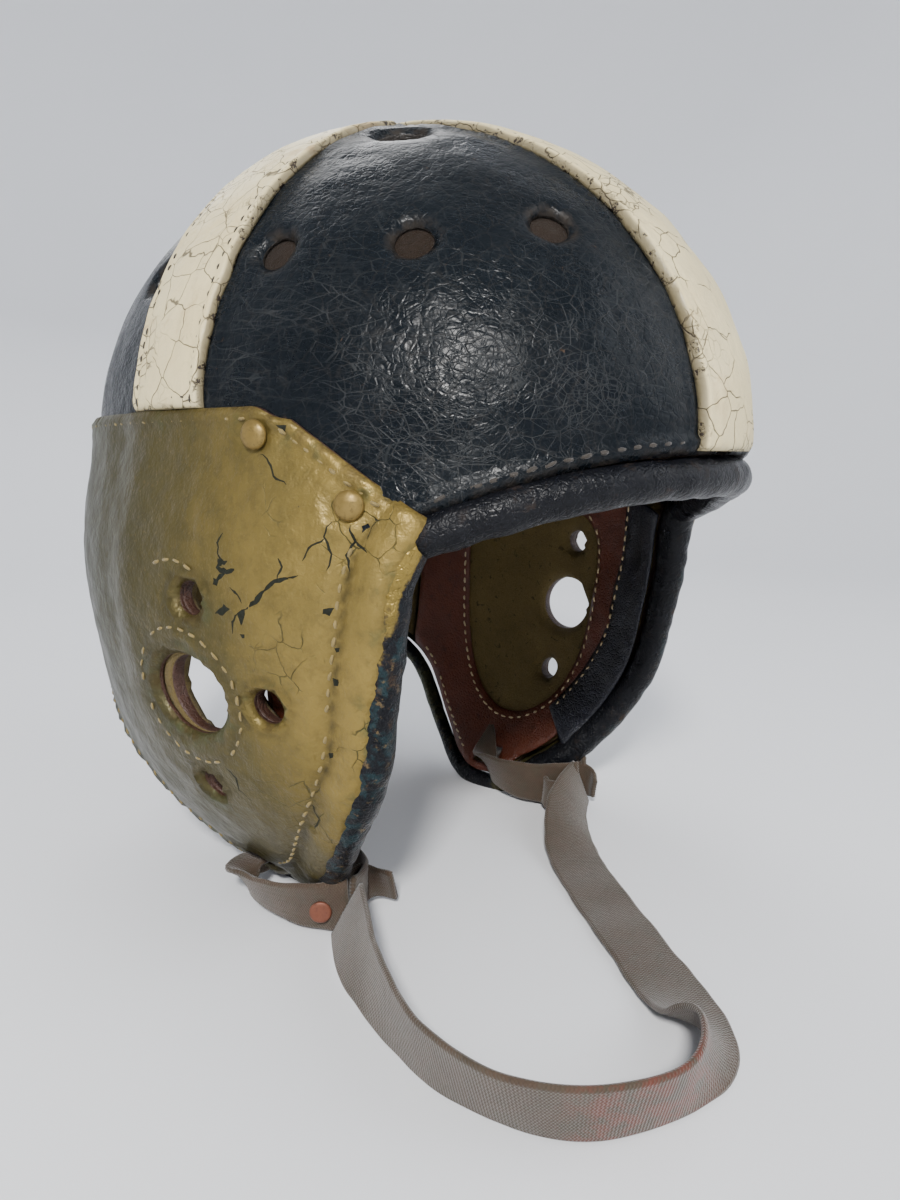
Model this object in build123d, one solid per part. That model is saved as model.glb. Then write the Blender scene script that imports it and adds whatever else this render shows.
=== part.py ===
from build123d import *
import os
from math import cos, radians, sin, sqrt

# ---------------------------------------------------------------------------
# Leather football helmet, in millimetres.
# +Z is up and z = 0 is the plane that the two ear flap tips stand on.
# X = 0 is the plane of symmetry.  The face looks along -Y, the wearer's left is +X.
# ---------------------------------------------------------------------------

# Crown: half an ellipsoid of its own bluntness above a widest ring.
RING_Z = 156.0            # height of the widest ring of the crown
CROWN_SIDE = 99.0         # half width at the ring
CROWN_FRONT = 128.0       # reach of the ring to the front
CROWN_REAR = 131.0        # reach of the ring to the rear
CROWN_RISE = 104.5        # height of the crown above the ring
CROWN_BLUNTNESS = 1.9     # 2 would be a true ellipsoid
CROWN_LEVELS = (0, 26, 49, 69, 84, 94, 100, 103.7)   # heights of the sections above the ring

# Skirt below the ring: half width by height, swelling over the ears, closing in at the tips.
SKIRT = ((-3, 55.5), (20, 76.0), (51, 95.5), (83, 103.5), (112, 106.5), (140, 102.5))

# Layers, as offsets from the outer face of the crown panels: (inner, outer).
STRIP_LAYER = (0.3, 3.2)
FLAP_LAYER = (0.25, 2.5)
PANEL_LAYER = (-3.0, 0.0)
LINING_LAYER = (-5.8, -3.3)
BAND_LAYER = (-9.4, -7.2)
PAD_LAYER = (-8.4, -0.25)
LINER_LAYER = (-10.2, -8.7)

# Stripes: two crossing bands over the crown.
STRIP_WIDTH = 34.0
STRIP_SIDE_Y = 0.0

# Edges.
FLAP_TOP_Z = 164.0        # straight top edge of the ear flaps and the neck guard
PANEL_HEM_Z = 150.0       # lower edge of the crown panels, hidden behind the flaps
HEM_CORNER_Z = 118.0      # the hem's height at the corner of the face opening
PAD_TOP_Z = 149.0
LINER_TOP_Z = 140.0
WINDOW_TOP_Z = 130.0
PAD_SEAM_Y = 70.0         # where the felt of a flap meets the felt of the nape
PAD_GAP = 1.4             # gap between the felt and the rolled edges
SEAM_GAP = 0.4            # gap between pieces that are sewn edge to edge
BROW_GAP = 1.2            # height left between the brow roll and the panels above it
ROLL_RADIUS = 6.0         # padded roll along the brow and the front of the flaps
BINDING_RADIUS = 3.5      # thin bound edge along the rear of the flaps and the neck
ROLL_OFFSET = -3.6        # centre of the rolled edges, from the panels' outer face
BROW_Z = 145.0            # centre of the brow roll at the front
BROW_DROP = 17.5          # how far the brow falls from the middle to the corner
BROW_CORNER_X = 82.0
CORNER_Y = -80.0
DIAGONAL_TOP_Y = -41.0    # where the flap's slanting edge meets its straight top edge
NECK_SEAM_X = 66.0        # seam between an ear flap and the neck guard

# Centreline of the padded roll down the front of a flap, and of the thin binding up
# its rear and across the nape, in the side view (y, z).
FLAP_FRONT = ((-77.0, 126.0), (-73.0, 105.0), (-69.0, 84.0), (-65.0, 66.0), (-56.0, 48.0), (-42.0, 29.0),
              (-27.0, 14.0), (-13.0, 6.4))
FLAP_REAR = ((-12.0, 3.0), (14.0, 3.0), (30.0, 12.0), (46.0, 26.0), (65.0, 47.0), (86.0, 61.0),
             (110.0, 69.0), (124.0, 71.0), (131.0, 71.0))

# Holes, in the side view: centre y, z, then radius.
EAR_HOLE = (-12.5, 82.0, 15.0, 12.5)     # oval: half length along y, half height
SOUND_HOLES = ((-18.5, 111.5, 5.0), (-42.0, 82.5, 5.0), (-10.5, 51.0, 4.6))
VENTS = ((-81.2, -29.7, 207.6), (-66.1, -68.0, 207.5), (-38.6, -92.9, 212.2))
TOP_VENT = (-33.0, -33.0, 248.5)
VENT_RADIUS = 5.6
TOP_VENT_RADIUS = 8.5
WINDOW = ((-33.0, 118.0), (-35.0, 92.0), (-31.0, 62.0), (-18.0, 39.0), (2.0, 31.0), (22.0, 38.0),
          (37.0, 60.0), (42.0, 92.0), (40.0, 118.0))

# Rivets that hold a flap to the crown, in the side view (y, z).
FLAP_RIVETS = ((-37.5, 156.5), (-66.0, 138.5))
RIVET_HEAD_RADIUS = 3.8
RIVET_HEAD_HEIGHT = 1.8
RIVET_HEAD_LIFT = 0.6     # clearance under the head, for the curve of the flap
RIVET_SHANK_RADIUS = 1.5
RIVET_CLEARANCE = 0.1
WASHER_RADIUS = 3.6
WASHER_THICKNESS = 0.5
WASHER_GAP = 0.3

# Inside the crown.
BAND_HEIGHT = 34.0
WEB_WIDTH = 25.0
WEB_RISE = 80.0
WEB_SHRINK = 7.0
WEB_THICKNESS = 1.4
WEB_FOOT_Z = 190.0
CROWN_PAD_RADIUS = 34.0
CROWN_PAD_THICKNESS = 3.0

# Chin strap: a webbing ribbon that hangs in a slot in each flap tip.
STRAP_WIDTH = 20.0
STRAP_THICKNESS = 1.8
SLOT_Y = 4.0
SLOT_Z = 13.0
SLOT_LENGTH = 14.0
SLOT_HEIGHT = 7.0
NECK_RADIUS = 2.0
LOOP_HEIGHT = 10.0
LOOP_BOTTOM_Z = 3.0
LOOP_OUT_X = 80.5
LOOP_IN_X = 46.5
LOOP_JOIN_Y = -41.0
LOOP_JOIN_X = 70.0
LOOP_BEND_Y = -29.0
STRAP_RIVET_RADIUS = 3.5
STRAP_RIVET_THICKNESS = 1.2

# Route of the ribbon's middle line: x, y, z and the lean of its width away from upright,
# positive outwards from the loop that it makes.
STRAP_ROUTE = ((-72.5, -43.5, 10.3, 5), (-80.0, -53.0, 10.4, 10), (-89.0, -67.0, 10.4, 14), (-97.0, -84.0, 10.3, 18),
               (-103.5, -103.0, 10.2, 20), (-104.5, -122.0, 10.2, 20), (-99.0, -138.5, 10.2, 20),
               (-87.0, -151.0, 10.3, 18), (-71.5, -157.5, 10.6, 10), (-57.5, -156.5, 10.6, -15),
               (-45.5, -148.5, 8.6, -50), (-35.0, -137.0, 4.2, -80), (-24.5, -123.5, 1.6, -90),
               (-10.0, -105.0, 1.3, -90), (4.0, -87.0, 1.3, -90), (18.5, -70.0, 2.6, -84),
               (36.0, -56.0, 7.0, -60), (52.0, -48.5, 10.0, -35), (64.0, -45.0, 10.8, -20))


def taper(height, rise):
    """How much of its widest ring a crown keeps at a height above that ring."""
    return (1 - (height / rise) ** CROWN_BLUNTNESS) ** (1 / CROWN_BLUNTNESS)


def ring(z, side, front, rear):
    """A level section: half an ellipse to the front and half to the rear."""
    front_half = EllipticalCenterArc((0, 0), side, front, 180, arc_size=180)
    rear_half = EllipticalCenterArc((0, 0), side, rear, 0, arc_size=180)
    return Pos(0, 0, z) * make_face(Curve() + [front_half, rear_half])


def skin(offset):
    """The whole helmet as one solid, out to an offset from the panels' outer face."""
    sections = [ring(z, side + offset, CROWN_FRONT + offset, CROWN_REAR + offset) for z, side in SKIRT]
    rise = CROWN_RISE + offset
    for level in CROWN_LEVELS:
        height = level * rise / CROWN_RISE
        keep = taper(height, rise)
        side = (CROWN_SIDE + offset) * keep
        front = (CROWN_FRONT + offset) * keep
        rear = (CROWN_REAR + offset) * keep
        sections.append(ring(RING_Z + height, side, front, rear))
    return loft(sections)


SKINS = {}


def layer(limits):
    """A shell between two offsets."""
    for offset in limits:
        if offset not in SKINS:
            SKINS[offset] = skin(offset)
    inner, outer = limits
    return SKINS[outer] - SKINS[inner]


def skirt_side(z):
    """Half width of the helmet at a height below the ring."""
    levels = SKIRT + ((RING_Z, CROWN_SIDE),)
    for (low_z, low), (high_z, high) in zip(levels, levels[1:]):
        if z <= high_z:
            return low + (high - low) * (z - low_z) / (high_z - low_z)
    return CROWN_SIDE


def side_x(y, z, offset=0.0):
    """Distance of the helmet's side from the plane of symmetry at (y, z)."""
    reach = CROWN_FRONT if y < 0 else CROWN_REAR
    side, keep = skirt_side(z), 1.0
    if z > RING_Z:
        keep = taper(z - RING_Z, CROWN_RISE)
        side = CROWN_SIDE * keep
    return (side + offset) * sqrt(max(0.0, 1 - (y / (reach * keep + offset)) ** 2))


def brow_z(x):
    """Height of the brow roll's centre above x."""
    return BROW_Z - BROW_DROP * (abs(x) / BROW_CORNER_X) ** 3


def box(low, high):
    """A block between two corners."""
    size = [b - a for a, b in zip(low, high)]
    middle = [(a + b) / 2 for a, b in zip(low, high)]
    return Pos(*middle) * Box(*size)


def side_prism(outline, x_low, x_high):
    """A closed side view outline of (y, z) points, extruded along X."""
    face = make_face(Polyline(*[(x_low, y, z) for y, z in outline], close=True))
    return extrude(face, amount=x_high - x_low, dir=(1, 0, 0))


def smooth_side_prism(outline, x_low, x_high):
    """The same with a smooth closed outline."""
    face = make_face(Spline(*[(x_low, y, z) for y, z in outline], periodic=True))
    return extrude(face, amount=x_high - x_low, dir=(1, 0, 0))


def inset(points, distance):
    """Move each point of a side view line square to it, towards the flap's middle."""
    moved = []
    for i, (y, z) in enumerate(points):
        y0, z0 = points[max(i - 1, 0)]
        y1, z1 = points[min(i + 1, len(points) - 1)]
        length = sqrt((y1 - y0) ** 2 + (z1 - z0) ** 2)
        moved.append((y - (z1 - z0) / length * distance, z + (y1 - y0) / length * distance))
    return moved


def flap_outline(front_gap, rear_gap, top_z, corner):
    """Side view outline of a flap layer inside its rolled edges, with its top edge."""
    front = inset(FLAP_FRONT, front_gap)
    rear = inset(FLAP_REAR, rear_gap)
    diagonal = [(DIAGONAL_TOP_Y + (top_z - FLAP_TOP_Z) * 0.4, top_z)]
    return [corner] + front + rear + [(150.0, rear[-1][1]), (150.0, top_z)] + diagonal


def above_brow(gap):
    """Everything above the brow roll, seen from the front."""
    xs = [BROW_CORNER_X * 1.3 * (i / 4 - 1) for i in range(9)]
    line = Spline(*[(x, 0, brow_z(x) + gap) for x in xs])
    start, end = line @ 0, line @ 1
    top = Polyline((end.X, 0, end.Z), (140, 0, end.Z), (140, 0, 300), (-140, 0, 300), (-140, 0, start.Z),
                   (start.X, 0, start.Z))
    face = make_face(Curve() + [line, top])
    front = extrude(face, amount=200, dir=(0, -1, 0))
    return front + box((-140, -0.5, 100), (140, 200, 300))


def side_hole(y, z, radius, x_sign):
    """A round hole through a flap, along X."""
    return Pos(x_sign * 90, y, z) * Rot(0, 90, 0) * Cylinder(radius, 90)


def oval_hole(y, z, half_y, half_z, x_sign):
    """An oval hole through a flap, along X."""
    oval = Plane(origin=(x_sign * 30, y, z), x_dir=(0, 1, 0), z_dir=(x_sign, 0, 0)) * Ellipse(half_y, half_z)
    return extrude(oval, amount=100)


def radial_hole(x, y, z, radius):
    """A round hole square to the crown at a point near its surface."""
    centre = Vector(0, 0, RING_Z)
    point = Vector(x, y, z)
    return Plane(origin=point, z_dir=point - centre) * Cylinder(radius, 26)


def tube(stations, radius, ends=(1.0, 1.0)):
    """A padded roll: circles lofted along stations, fuller or thinner at its ends."""
    points = [Vector(*p) for p in stations]
    sections = []
    for i, point in enumerate(points):
        ahead = points[min(i + 1, len(points) - 1)]
        behind = points[max(i - 1, 0)]
        scale = ends[0] if i == 0 else ends[1] if i == len(points) - 1 else 1.0
        plane = Plane(origin=point, x_dir=(0, 0, 1) if abs((ahead - behind).normalized().Z) < 0.8 else (0, 1, 0),
                      z_dir=ahead - behind)
        sections.append(plane * Circle(radius * scale))
    return loft(sections)


def mirrored(solid):
    """The same piece on the other side of the helmet."""
    return mirror(solid, about=Plane.YZ)


def crown_panels():
    """Four leather panels, each with its vents, ending under the stripes."""
    hem = [(-150, 57), (CORNER_Y + 3, HEM_CORNER_Z), (DIAGONAL_TOP_Y + 2, PANEL_HEM_Z), (150, PANEL_HEM_Z), (150, 270),
           (-150, 270)]
    shell = layer(PANEL_LAYER) & side_prism(hem, -140, 140)
    shell = shell & above_brow(ROLL_RADIUS + BROW_GAP)
    for x_sign in (-1, 1):
        for y_sign in (-1, 1):
            for x, y, z in VENTS:
                shell -= radial_hole(-x * x_sign, -y * y_sign, z, VENT_RADIUS)
            x, y, z = TOP_VENT
            shell -= radial_hole(-x * x_sign, -y * y_sign, z, TOP_VENT_RADIUS)
        shell -= rivet_holes(x_sign)
    half = SEAM_GAP / 2
    quarters = {}
    for side, x_low, x_high in (("right", -140, -half), ("left", half, 140)):
        for end, y_low, y_high in (("front", -150, -half), ("rear", half, 150)):
            quarters[f"crown_panel_{end}_{side}"] = shell & box((x_low, y_low, 90), (x_high, y_high, 270))
    return quarters


def strips():
    """A stripe from brow to nape and one from each ear up to it."""
    shell = layer(STRIP_LAYER)
    half = STRIP_WIDTH / 2
    long_band = shell & box((-half, -150, 100), (half, 150, 270)) & above_brow(ROLL_RADIUS + BROW_GAP)
    long_band &= box((-half, -150, 100), (half, 0, 270)) + box((-half, 0, FLAP_TOP_Z + SEAM_GAP), (half, 150, 270))
    side_band = shell & box((-140, STRIP_SIDE_Y - half, FLAP_TOP_Z + SEAM_GAP),
                            (-half - SEAM_GAP, STRIP_SIDE_Y + half, 270))
    return {"strip_front_rear": long_band, "strip_right": side_band, "strip_left": mirrored(side_band)}


def flap_cuts(x_sign):
    """Holes of an ear flap and the strap slot, all along X."""
    cuts = oval_hole(*EAR_HOLE, x_sign)
    for hole in SOUND_HOLES:
        cuts += side_hole(*hole, x_sign)
    x_low, x_high = sorted((x_sign * 30, x_sign * 110))
    cuts += box((x_low, SLOT_Y - SLOT_LENGTH / 2, SLOT_Z - SLOT_HEIGHT / 2),
                (x_high, SLOT_Y + SLOT_LENGTH / 2, SLOT_Z + SLOT_HEIGHT / 2))
    return cuts


def rivet_place(y, z, x_sign):
    """Plane square to the flap at a rivet, on the flap's outer face."""
    x = side_x(y, z, FLAP_LAYER[1])
    side = side_x(y, z) / max(1.0, skirt_side(min(z, RING_Z)))
    reach = CROWN_FRONT
    normal = Vector(x_sign * side / CROWN_SIDE, y / reach ** 2, 0.0)
    return Plane(origin=(x_sign * x, y, z), z_dir=normal)


def rivet_holes(x_sign):
    """Shank holes of one side's rivets."""
    holes = Part()
    for y, z in FLAP_RIVETS:
        holes += rivet_place(y, z, x_sign) * Pos(0, 0, -5) * Cylinder(RIVET_SHANK_RADIUS + RIVET_CLEARANCE, 20)
    return holes


def flap_rivets(x_sign):
    """Domed rivets, each with its washer on the inside."""
    rivets = []
    inside = LINING_LAYER[0] - FLAP_LAYER[1] - WASHER_GAP
    for y, z in FLAP_RIVETS:
        place = rivet_place(y, z, x_sign)
        dome = Pos(0, 0, RIVET_HEAD_HEIGHT / 2 + RIVET_HEAD_LIFT) * Cylinder(RIVET_HEAD_RADIUS, RIVET_HEAD_HEIGHT)
        dome = fillet(dome.edges().group_by(Axis.Z)[-1], RIVET_HEAD_HEIGHT * 0.8)
        shank_length = RIVET_HEAD_LIFT - inside + WASHER_THICKNESS
        shank = Pos(0, 0, RIVET_HEAD_LIFT - shank_length / 2) * Cylinder(RIVET_SHANK_RADIUS, shank_length)
        washer = Pos(0, 0, inside - WASHER_THICKNESS / 2) * Cylinder(WASHER_RADIUS, WASHER_THICKNESS)
        rivets.append(place * (dome + shank + washer))
    return rivets


def ear_flap(x_sign):
    """Outer leather of an ear flap, up to its seam with the neck guard."""
    outline = flap_outline(ROLL_RADIUS + 0.4, BINDING_RADIUS + 0.4, FLAP_TOP_Z, (CORNER_Y, 136.5))
    shell = layer(FLAP_LAYER) & side_prism(outline, *sorted((x_sign * 2, x_sign * 140)))
    seam_y = CROWN_REAR * sqrt(1 - (NECK_SEAM_X / 102.0) ** 2)
    shell &= box((-140, -150, -10), (140, seam_y - SEAM_GAP / 2, 200))
    return shell - flap_cuts(x_sign) - rivet_holes(x_sign)


def neck_guard():
    """Outer leather across the nape, between the two flaps."""
    outline = flap_outline(ROLL_RADIUS + 0.4, BINDING_RADIUS + 0.4, FLAP_TOP_Z, (CORNER_Y, 136.5))
    seam_y = CROWN_REAR * sqrt(1 - (NECK_SEAM_X / 102.0) ** 2)
    shell = layer(FLAP_LAYER) & side_prism(outline, -140, 140)
    return shell & box((-140, seam_y + SEAM_GAP / 2, -10), (140, 150, 200))


def below_hem():
    """Everything below the hem of the crown panels, in the side view."""
    return side_prism([(-150, -20), (-150, 56), (CORNER_Y + 3, HEM_CORNER_Z - 0.6), (DIAGONAL_TOP_Y + 2, PAD_TOP_Z),
                       (150, PAD_TOP_Z), (150, -20)], -140, 140)


def ear_pad(x_sign):
    """Felt pad inside an ear flap, behind the ring of the liner."""
    outline = flap_outline(ROLL_RADIUS + PAD_GAP, BINDING_RADIUS + PAD_GAP, PAD_TOP_Z, (CORNER_Y + 9, 130.0))
    shell = layer(PAD_LAYER) & side_prism(outline, *sorted((x_sign * 2, x_sign * 140))) & below_hem()
    shell &= box((-140, -150, -10), (140, PAD_SEAM_Y, PAD_TOP_Z))
    return shell - flap_cuts(x_sign)


def neck_pad():
    """Felt behind the neck guard."""
    outline = flap_outline(ROLL_RADIUS + PAD_GAP, BINDING_RADIUS + PAD_GAP, PAD_TOP_Z, (CORNER_Y + 9, 130.0))
    shell = layer(PAD_LAYER) & side_prism(outline, -140, 140)
    return shell & box((-140, PAD_SEAM_Y + SEAM_GAP, -10), (140, 150, PAD_TOP_Z))


def ear_liner(x_sign):
    """Leather ring on the inside of a flap, with a window that shows the pad."""
    outline = flap_outline(ROLL_RADIUS + PAD_GAP, BINDING_RADIUS + PAD_GAP, PAD_TOP_Z - 6, (CORNER_Y + 11, 129.0))
    shell = layer(LINER_LAYER) & side_prism(outline, *sorted((x_sign * 2, x_sign * 140)))
    shell &= box((-140, -150, -10), (140, PAD_SEAM_Y, LINER_TOP_Z))
    shell -= smooth_side_prism(WINDOW + ((2.0, WINDOW_TOP_Z),), *sorted((x_sign * 20, x_sign * 140)))
    return shell - flap_cuts(x_sign)


def brow_roll():
    """Padded roll along the brow, from corner to corner."""
    stations = []
    reach = BROW_CORNER_X - 5.0
    for i in range(13):
        x = reach * (i / 6 - 1)
        z = brow_z(x)
        side = skirt_side(z) + ROLL_OFFSET
        y = -(CROWN_FRONT + ROLL_OFFSET) * sqrt(1 - (x / side) ** 2)
        stations.append((x, y, z))
    return tube(stations, ROLL_RADIUS)


def flap_roll(x_sign):
    """Padded roll down the front edge of a flap."""
    stations = [(x_sign * side_x(y, z, ROLL_OFFSET), y, z) for y, z in FLAP_FRONT]
    return tube(stations, ROLL_RADIUS, ends=(0.9, 0.6)) & box((-140, -140, 0), (140, FLAP_REAR[0][0] - 0.3, 140))


def neck_binding(x_sign):
    """Thin bound edge from a flap's tip round to the middle of the nape."""
    points = [(y, z) for y, z in FLAP_REAR if y < CROWN_REAR - 4]
    stations = [(x_sign * side_x(y, z, ROLL_OFFSET), y, z) for y, z in points]
    last = FLAP_REAR[-1]
    stations.append((x_sign * 14.0, CROWN_REAR + ROLL_OFFSET - 0.9, last[1]))
    stations.append((0, CROWN_REAR + ROLL_OFFSET, last[1]))
    x_low, x_high = sorted((x_sign * SEAM_GAP / 2, x_sign * 140))
    return tube(stations, BINDING_RADIUS) & box((x_low, FLAP_REAR[0][0], 0), (x_high, 160, 120))


def crown_lining():
    """Felt lining against the inside of the crown panels."""
    hem = [(-150, 60), (CORNER_Y + 3, HEM_CORNER_Z + 3), (DIAGONAL_TOP_Y + 2, PANEL_HEM_Z + 1),
           (150, PANEL_HEM_Z + 1), (150, 270), (-150, 270)]
    shell = layer(LINING_LAYER) & side_prism(hem, -140, 140) & above_brow(ROLL_RADIUS + 3.0)
    return shell - rivet_holes(-1) - rivet_holes(1)


def sweatband():
    """Leather band round the head, inside the lining."""
    shell = layer(BAND_LAYER) & box((-140, -150, PANEL_HEM_Z + 3), (140, 150, PANEL_HEM_Z + 3 + BAND_HEIGHT))
    return shell


def web_dome(drop):
    """Surface that the webs and the pad of the crown follow, lowered by a drop."""
    rise = WEB_RISE - drop
    sections = []
    for level in (0, 20, 38, 54, 66, 74, 78):
        height = level * rise / WEB_RISE
        keep = taper(height, rise)
        cut = WEB_SHRINK + drop
        sections.append(ring(RING_Z + height, (CROWN_SIDE - cut) * keep, (CROWN_FRONT - cut) * keep,
                             (CROWN_REAR - cut) * keep))
    return loft(sections)


def crown_webs():
    """Two webs that cross under the crown and the round pad below them."""
    half = WEB_WIDTH / 2
    faces = [web_dome(i * (WEB_THICKNESS + 0.3)) for i in range(3)]
    inner_faces = [web_dome(i * (WEB_THICKNESS + 0.3) + WEB_THICKNESS) for i in range(2)]
    long_web = (faces[0] - inner_faces[0]) & box((-half, -140, WEB_FOOT_Z), (half, 140, 260))
    cross_web = (faces[1] - inner_faces[1]) & box((-140, -half, WEB_FOOT_Z), (140, half, 260))
    pad_face = web_dome(2 * (WEB_THICKNESS + 0.3) + CROWN_PAD_THICKNESS)
    pad = (faces[2] - pad_face) & (Pos(0, 0, 230) * Cylinder(CROWN_PAD_RADIUS, 80))
    return {"web_front_rear": long_web, "web_left_right": cross_web, "crown_pad": pad}


def strap_loop(x_sign):
    """End of the strap: a neck through the slot and an arm along each face of the flap tip."""
    route = ((LOOP_IN_X, SLOT_Y), (LOOP_IN_X, LOOP_BEND_Y), (LOOP_JOIN_X - 8, LOOP_JOIN_Y), (LOOP_JOIN_X, LOOP_JOIN_Y),
             (LOOP_OUT_X, LOOP_BEND_Y), (LOOP_OUT_X, SLOT_Y))
    line = Polyline(*[(x_sign * x, y) for x, y in route])
    band = extrude(trace(line, STRAP_THICKNESS), amount=LOOP_HEIGHT)
    band = Pos(0, 0, LOOP_BOTTOM_Z) * band
    reach = LOOP_OUT_X - LOOP_IN_X
    neck = Pos(x_sign * (LOOP_IN_X + reach / 2), SLOT_Y, SLOT_Z - 1.0) * Rot(0, 90, 0) * Cylinder(NECK_RADIUS, reach)
    return band + neck


def chin_strap():
    """The webbing ribbon between the two loops."""
    points = [Vector(x, y, z) for x, y, z, lean in STRAP_ROUTE]
    leans = [lean for x, y, z, lean in STRAP_ROUTE]
    sections = []
    for i, point in enumerate(points):
        ahead = (points[min(i + 1, len(points) - 1)] - points[max(i - 1, 0)]).normalized()
        outward = Vector(ahead.Y, -ahead.X, 0).normalized()
        across = outward * sin(radians(leans[i])) + Vector(0, 0, 1) * cos(radians(leans[i]))
        plane = Plane(origin=point, x_dir=across, z_dir=ahead)
        sections.append(plane * Rectangle(STRAP_WIDTH, STRAP_THICKNESS))
    return loft(sections)


def strap_rivet(x_sign):
    """Flat rivet that closes a loop of the strap."""
    run_x, run_y = LOOP_JOIN_X - LOOP_OUT_X, LOOP_JOIN_Y - LOOP_BEND_Y
    length = sqrt(run_x ** 2 + run_y ** 2)
    lift = STRAP_THICKNESS / 2 + STRAP_RIVET_THICKNESS / 2 + 0.1
    x = LOOP_OUT_X + run_x / 2 - run_y / length * lift
    y = LOOP_BEND_Y + run_y / 2 + run_x / length * lift
    place = Plane(origin=(x_sign * x, y, LOOP_BOTTOM_Z + LOOP_HEIGHT / 2), z_dir=(-x_sign * run_y, run_x, 0))
    return place * Cylinder(STRAP_RIVET_RADIUS, STRAP_RIVET_THICKNESS)


def build():
    parts = {}
    parts.update(crown_panels())
    parts.update(strips())
    parts["neck_guard"] = neck_guard()
    parts["neck_pad"] = neck_pad()
    parts["brow_roll"] = brow_roll()
    parts["crown_lining"] = crown_lining()
    parts["sweatband"] = sweatband()
    parts.update(crown_webs())
    parts["chin_strap"] = chin_strap()
    for name, x_sign in (("right", -1), ("left", 1)):
        parts[f"ear_flap_{name}"] = ear_flap(x_sign)
        parts[f"ear_pad_{name}"] = ear_pad(x_sign)
        parts[f"ear_liner_{name}"] = ear_liner(x_sign)
        parts[f"flap_roll_{name}"] = flap_roll(x_sign)
        parts[f"neck_binding_{name}"] = neck_binding(x_sign)
        parts[f"flap_rivets_{name}"] = Compound(children=flap_rivets(x_sign))
        parts[f"strap_loop_{name}"] = strap_loop(x_sign)
        parts[f"strap_rivet_{name}"] = strap_rivet(x_sign)
    return parts


os.makedirs("parts", exist_ok=True)
for node, shape in build().items():
    export_step(shape, f"parts/{node}.step")
    print(node, len(shape.solids()), round(shape.volume, 1))
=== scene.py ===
import bpy
from math import acos, asin, atan2, ceil, cos, degrees, hypot, pi, radians, sin
import numpy as np
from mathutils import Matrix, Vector, geometry


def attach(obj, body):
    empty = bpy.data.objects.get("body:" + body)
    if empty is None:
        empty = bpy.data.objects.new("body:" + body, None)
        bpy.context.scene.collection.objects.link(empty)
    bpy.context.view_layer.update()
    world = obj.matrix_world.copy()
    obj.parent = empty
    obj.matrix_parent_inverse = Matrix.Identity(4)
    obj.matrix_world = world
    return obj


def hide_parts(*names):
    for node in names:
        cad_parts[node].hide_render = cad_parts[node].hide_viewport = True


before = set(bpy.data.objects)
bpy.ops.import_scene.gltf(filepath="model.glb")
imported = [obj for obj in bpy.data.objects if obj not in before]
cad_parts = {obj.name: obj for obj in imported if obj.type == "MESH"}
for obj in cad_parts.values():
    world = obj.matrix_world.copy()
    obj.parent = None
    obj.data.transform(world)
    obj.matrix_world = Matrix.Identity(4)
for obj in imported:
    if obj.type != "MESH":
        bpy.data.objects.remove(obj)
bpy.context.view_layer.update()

# ---------------------------------------------------------------------------
# The leather helmet's surface, in millimetres, as the CAD model has it.
# +Z is up, the face looks along -Y and the wearer's left is +X.
# ---------------------------------------------------------------------------
MM = 0.001
RING_Z = 156.0
SIDE, FRONT, REAR, RISE = 99.0, 128.0, 131.0, 104.5
BLUNT = 1.9
ARC = 150.0                  # length given to the way from the ring to the apex
SKIRT_Z = (-3.0, 20.0, 51.0, 83.0, 112.0, 140.0, RING_Z)
SKIRT_X = (55.5, 76.0, 95.5, 103.5, 106.5, 102.5, SIDE)
FLAP_TOP_Z = 164.0           # straight top edge of the flaps and the neck guard
STRIP_HALF = 17.0            # half width of the stripes
PANEL_HEM_Z = 150.0          # lower edge of the crown panels behind the flaps
PANEL_BACK = -3.0            # offsets of the layers from the panels' outer face
STRIP_TOP, STRIP_BACK = 3.2, 0.2
FLAP_OUTER, FLAP_INNER = 2.5, 0.25
PAD_BACK, PAD_FACE = -0.3, -7.4
LINER_BACK, LINER_FACE = -8.75, -10.1
FLANGE_BACK, FLANGE_FACE = -10.4, -11.5
PAD_TOP_Z = 149.0            # top edge of the felt in the flaps and the nape
SEAM_GAP = 0.3               # half of the gap between an ear flap and the neck guard
ROLL_RADIUS, BINDING_RADIUS, ROLL_OFFSET = 6.0, 3.5, -3.6
BROW_Z, BROW_DROP, BROW_CORNER_X, BROW_GAP = 145.0, 17.5, 82.0, 1.2
FLAP_FRONT = ((-77.0, 126.0), (-73.0, 105.0), (-69.0, 84.0), (-65.0, 66.0), (-56.0, 48.0), (-42.0, 29.0),
              (-27.0, 14.0), (-13.0, 6.4))
FLAP_REAR = ((-12.0, 3.0), (14.0, 3.0), (30.0, 12.0), (46.0, 26.0), (65.0, 47.0), (86.0, 61.0),
             (110.0, 69.0), (124.0, 71.0), (131.0, 71.0))
EAR_HOLE = (-12.5, 82.0, 15.0, 12.5)
SOUND_HOLES = ((-18.5, 111.5, 5.0), (-42.0, 82.5, 5.0), (-10.5, 51.0, 4.6))
SLOT = (4.0, 13.0, 14.0, 7.0)
VENTS = ((-81.2, -29.7, 207.6, 5.6), (-66.1, -68.0, 207.5, 5.6), (-38.6, -92.9, 212.2, 5.6),
         (-33.0, -33.0, 248.5, 8.5))
FLAP_RIVETS = ((-37.5, 156.5), (-66.0, 138.5))
WINDOW = ((-33.0, 118.0), (-35.0, 92.0), (-31.0, 62.0), (-18.0, 39.0), (2.0, 31.0), (22.0, 38.0),
          (37.0, 60.0), (42.0, 92.0), (40.0, 118.0))


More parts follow.
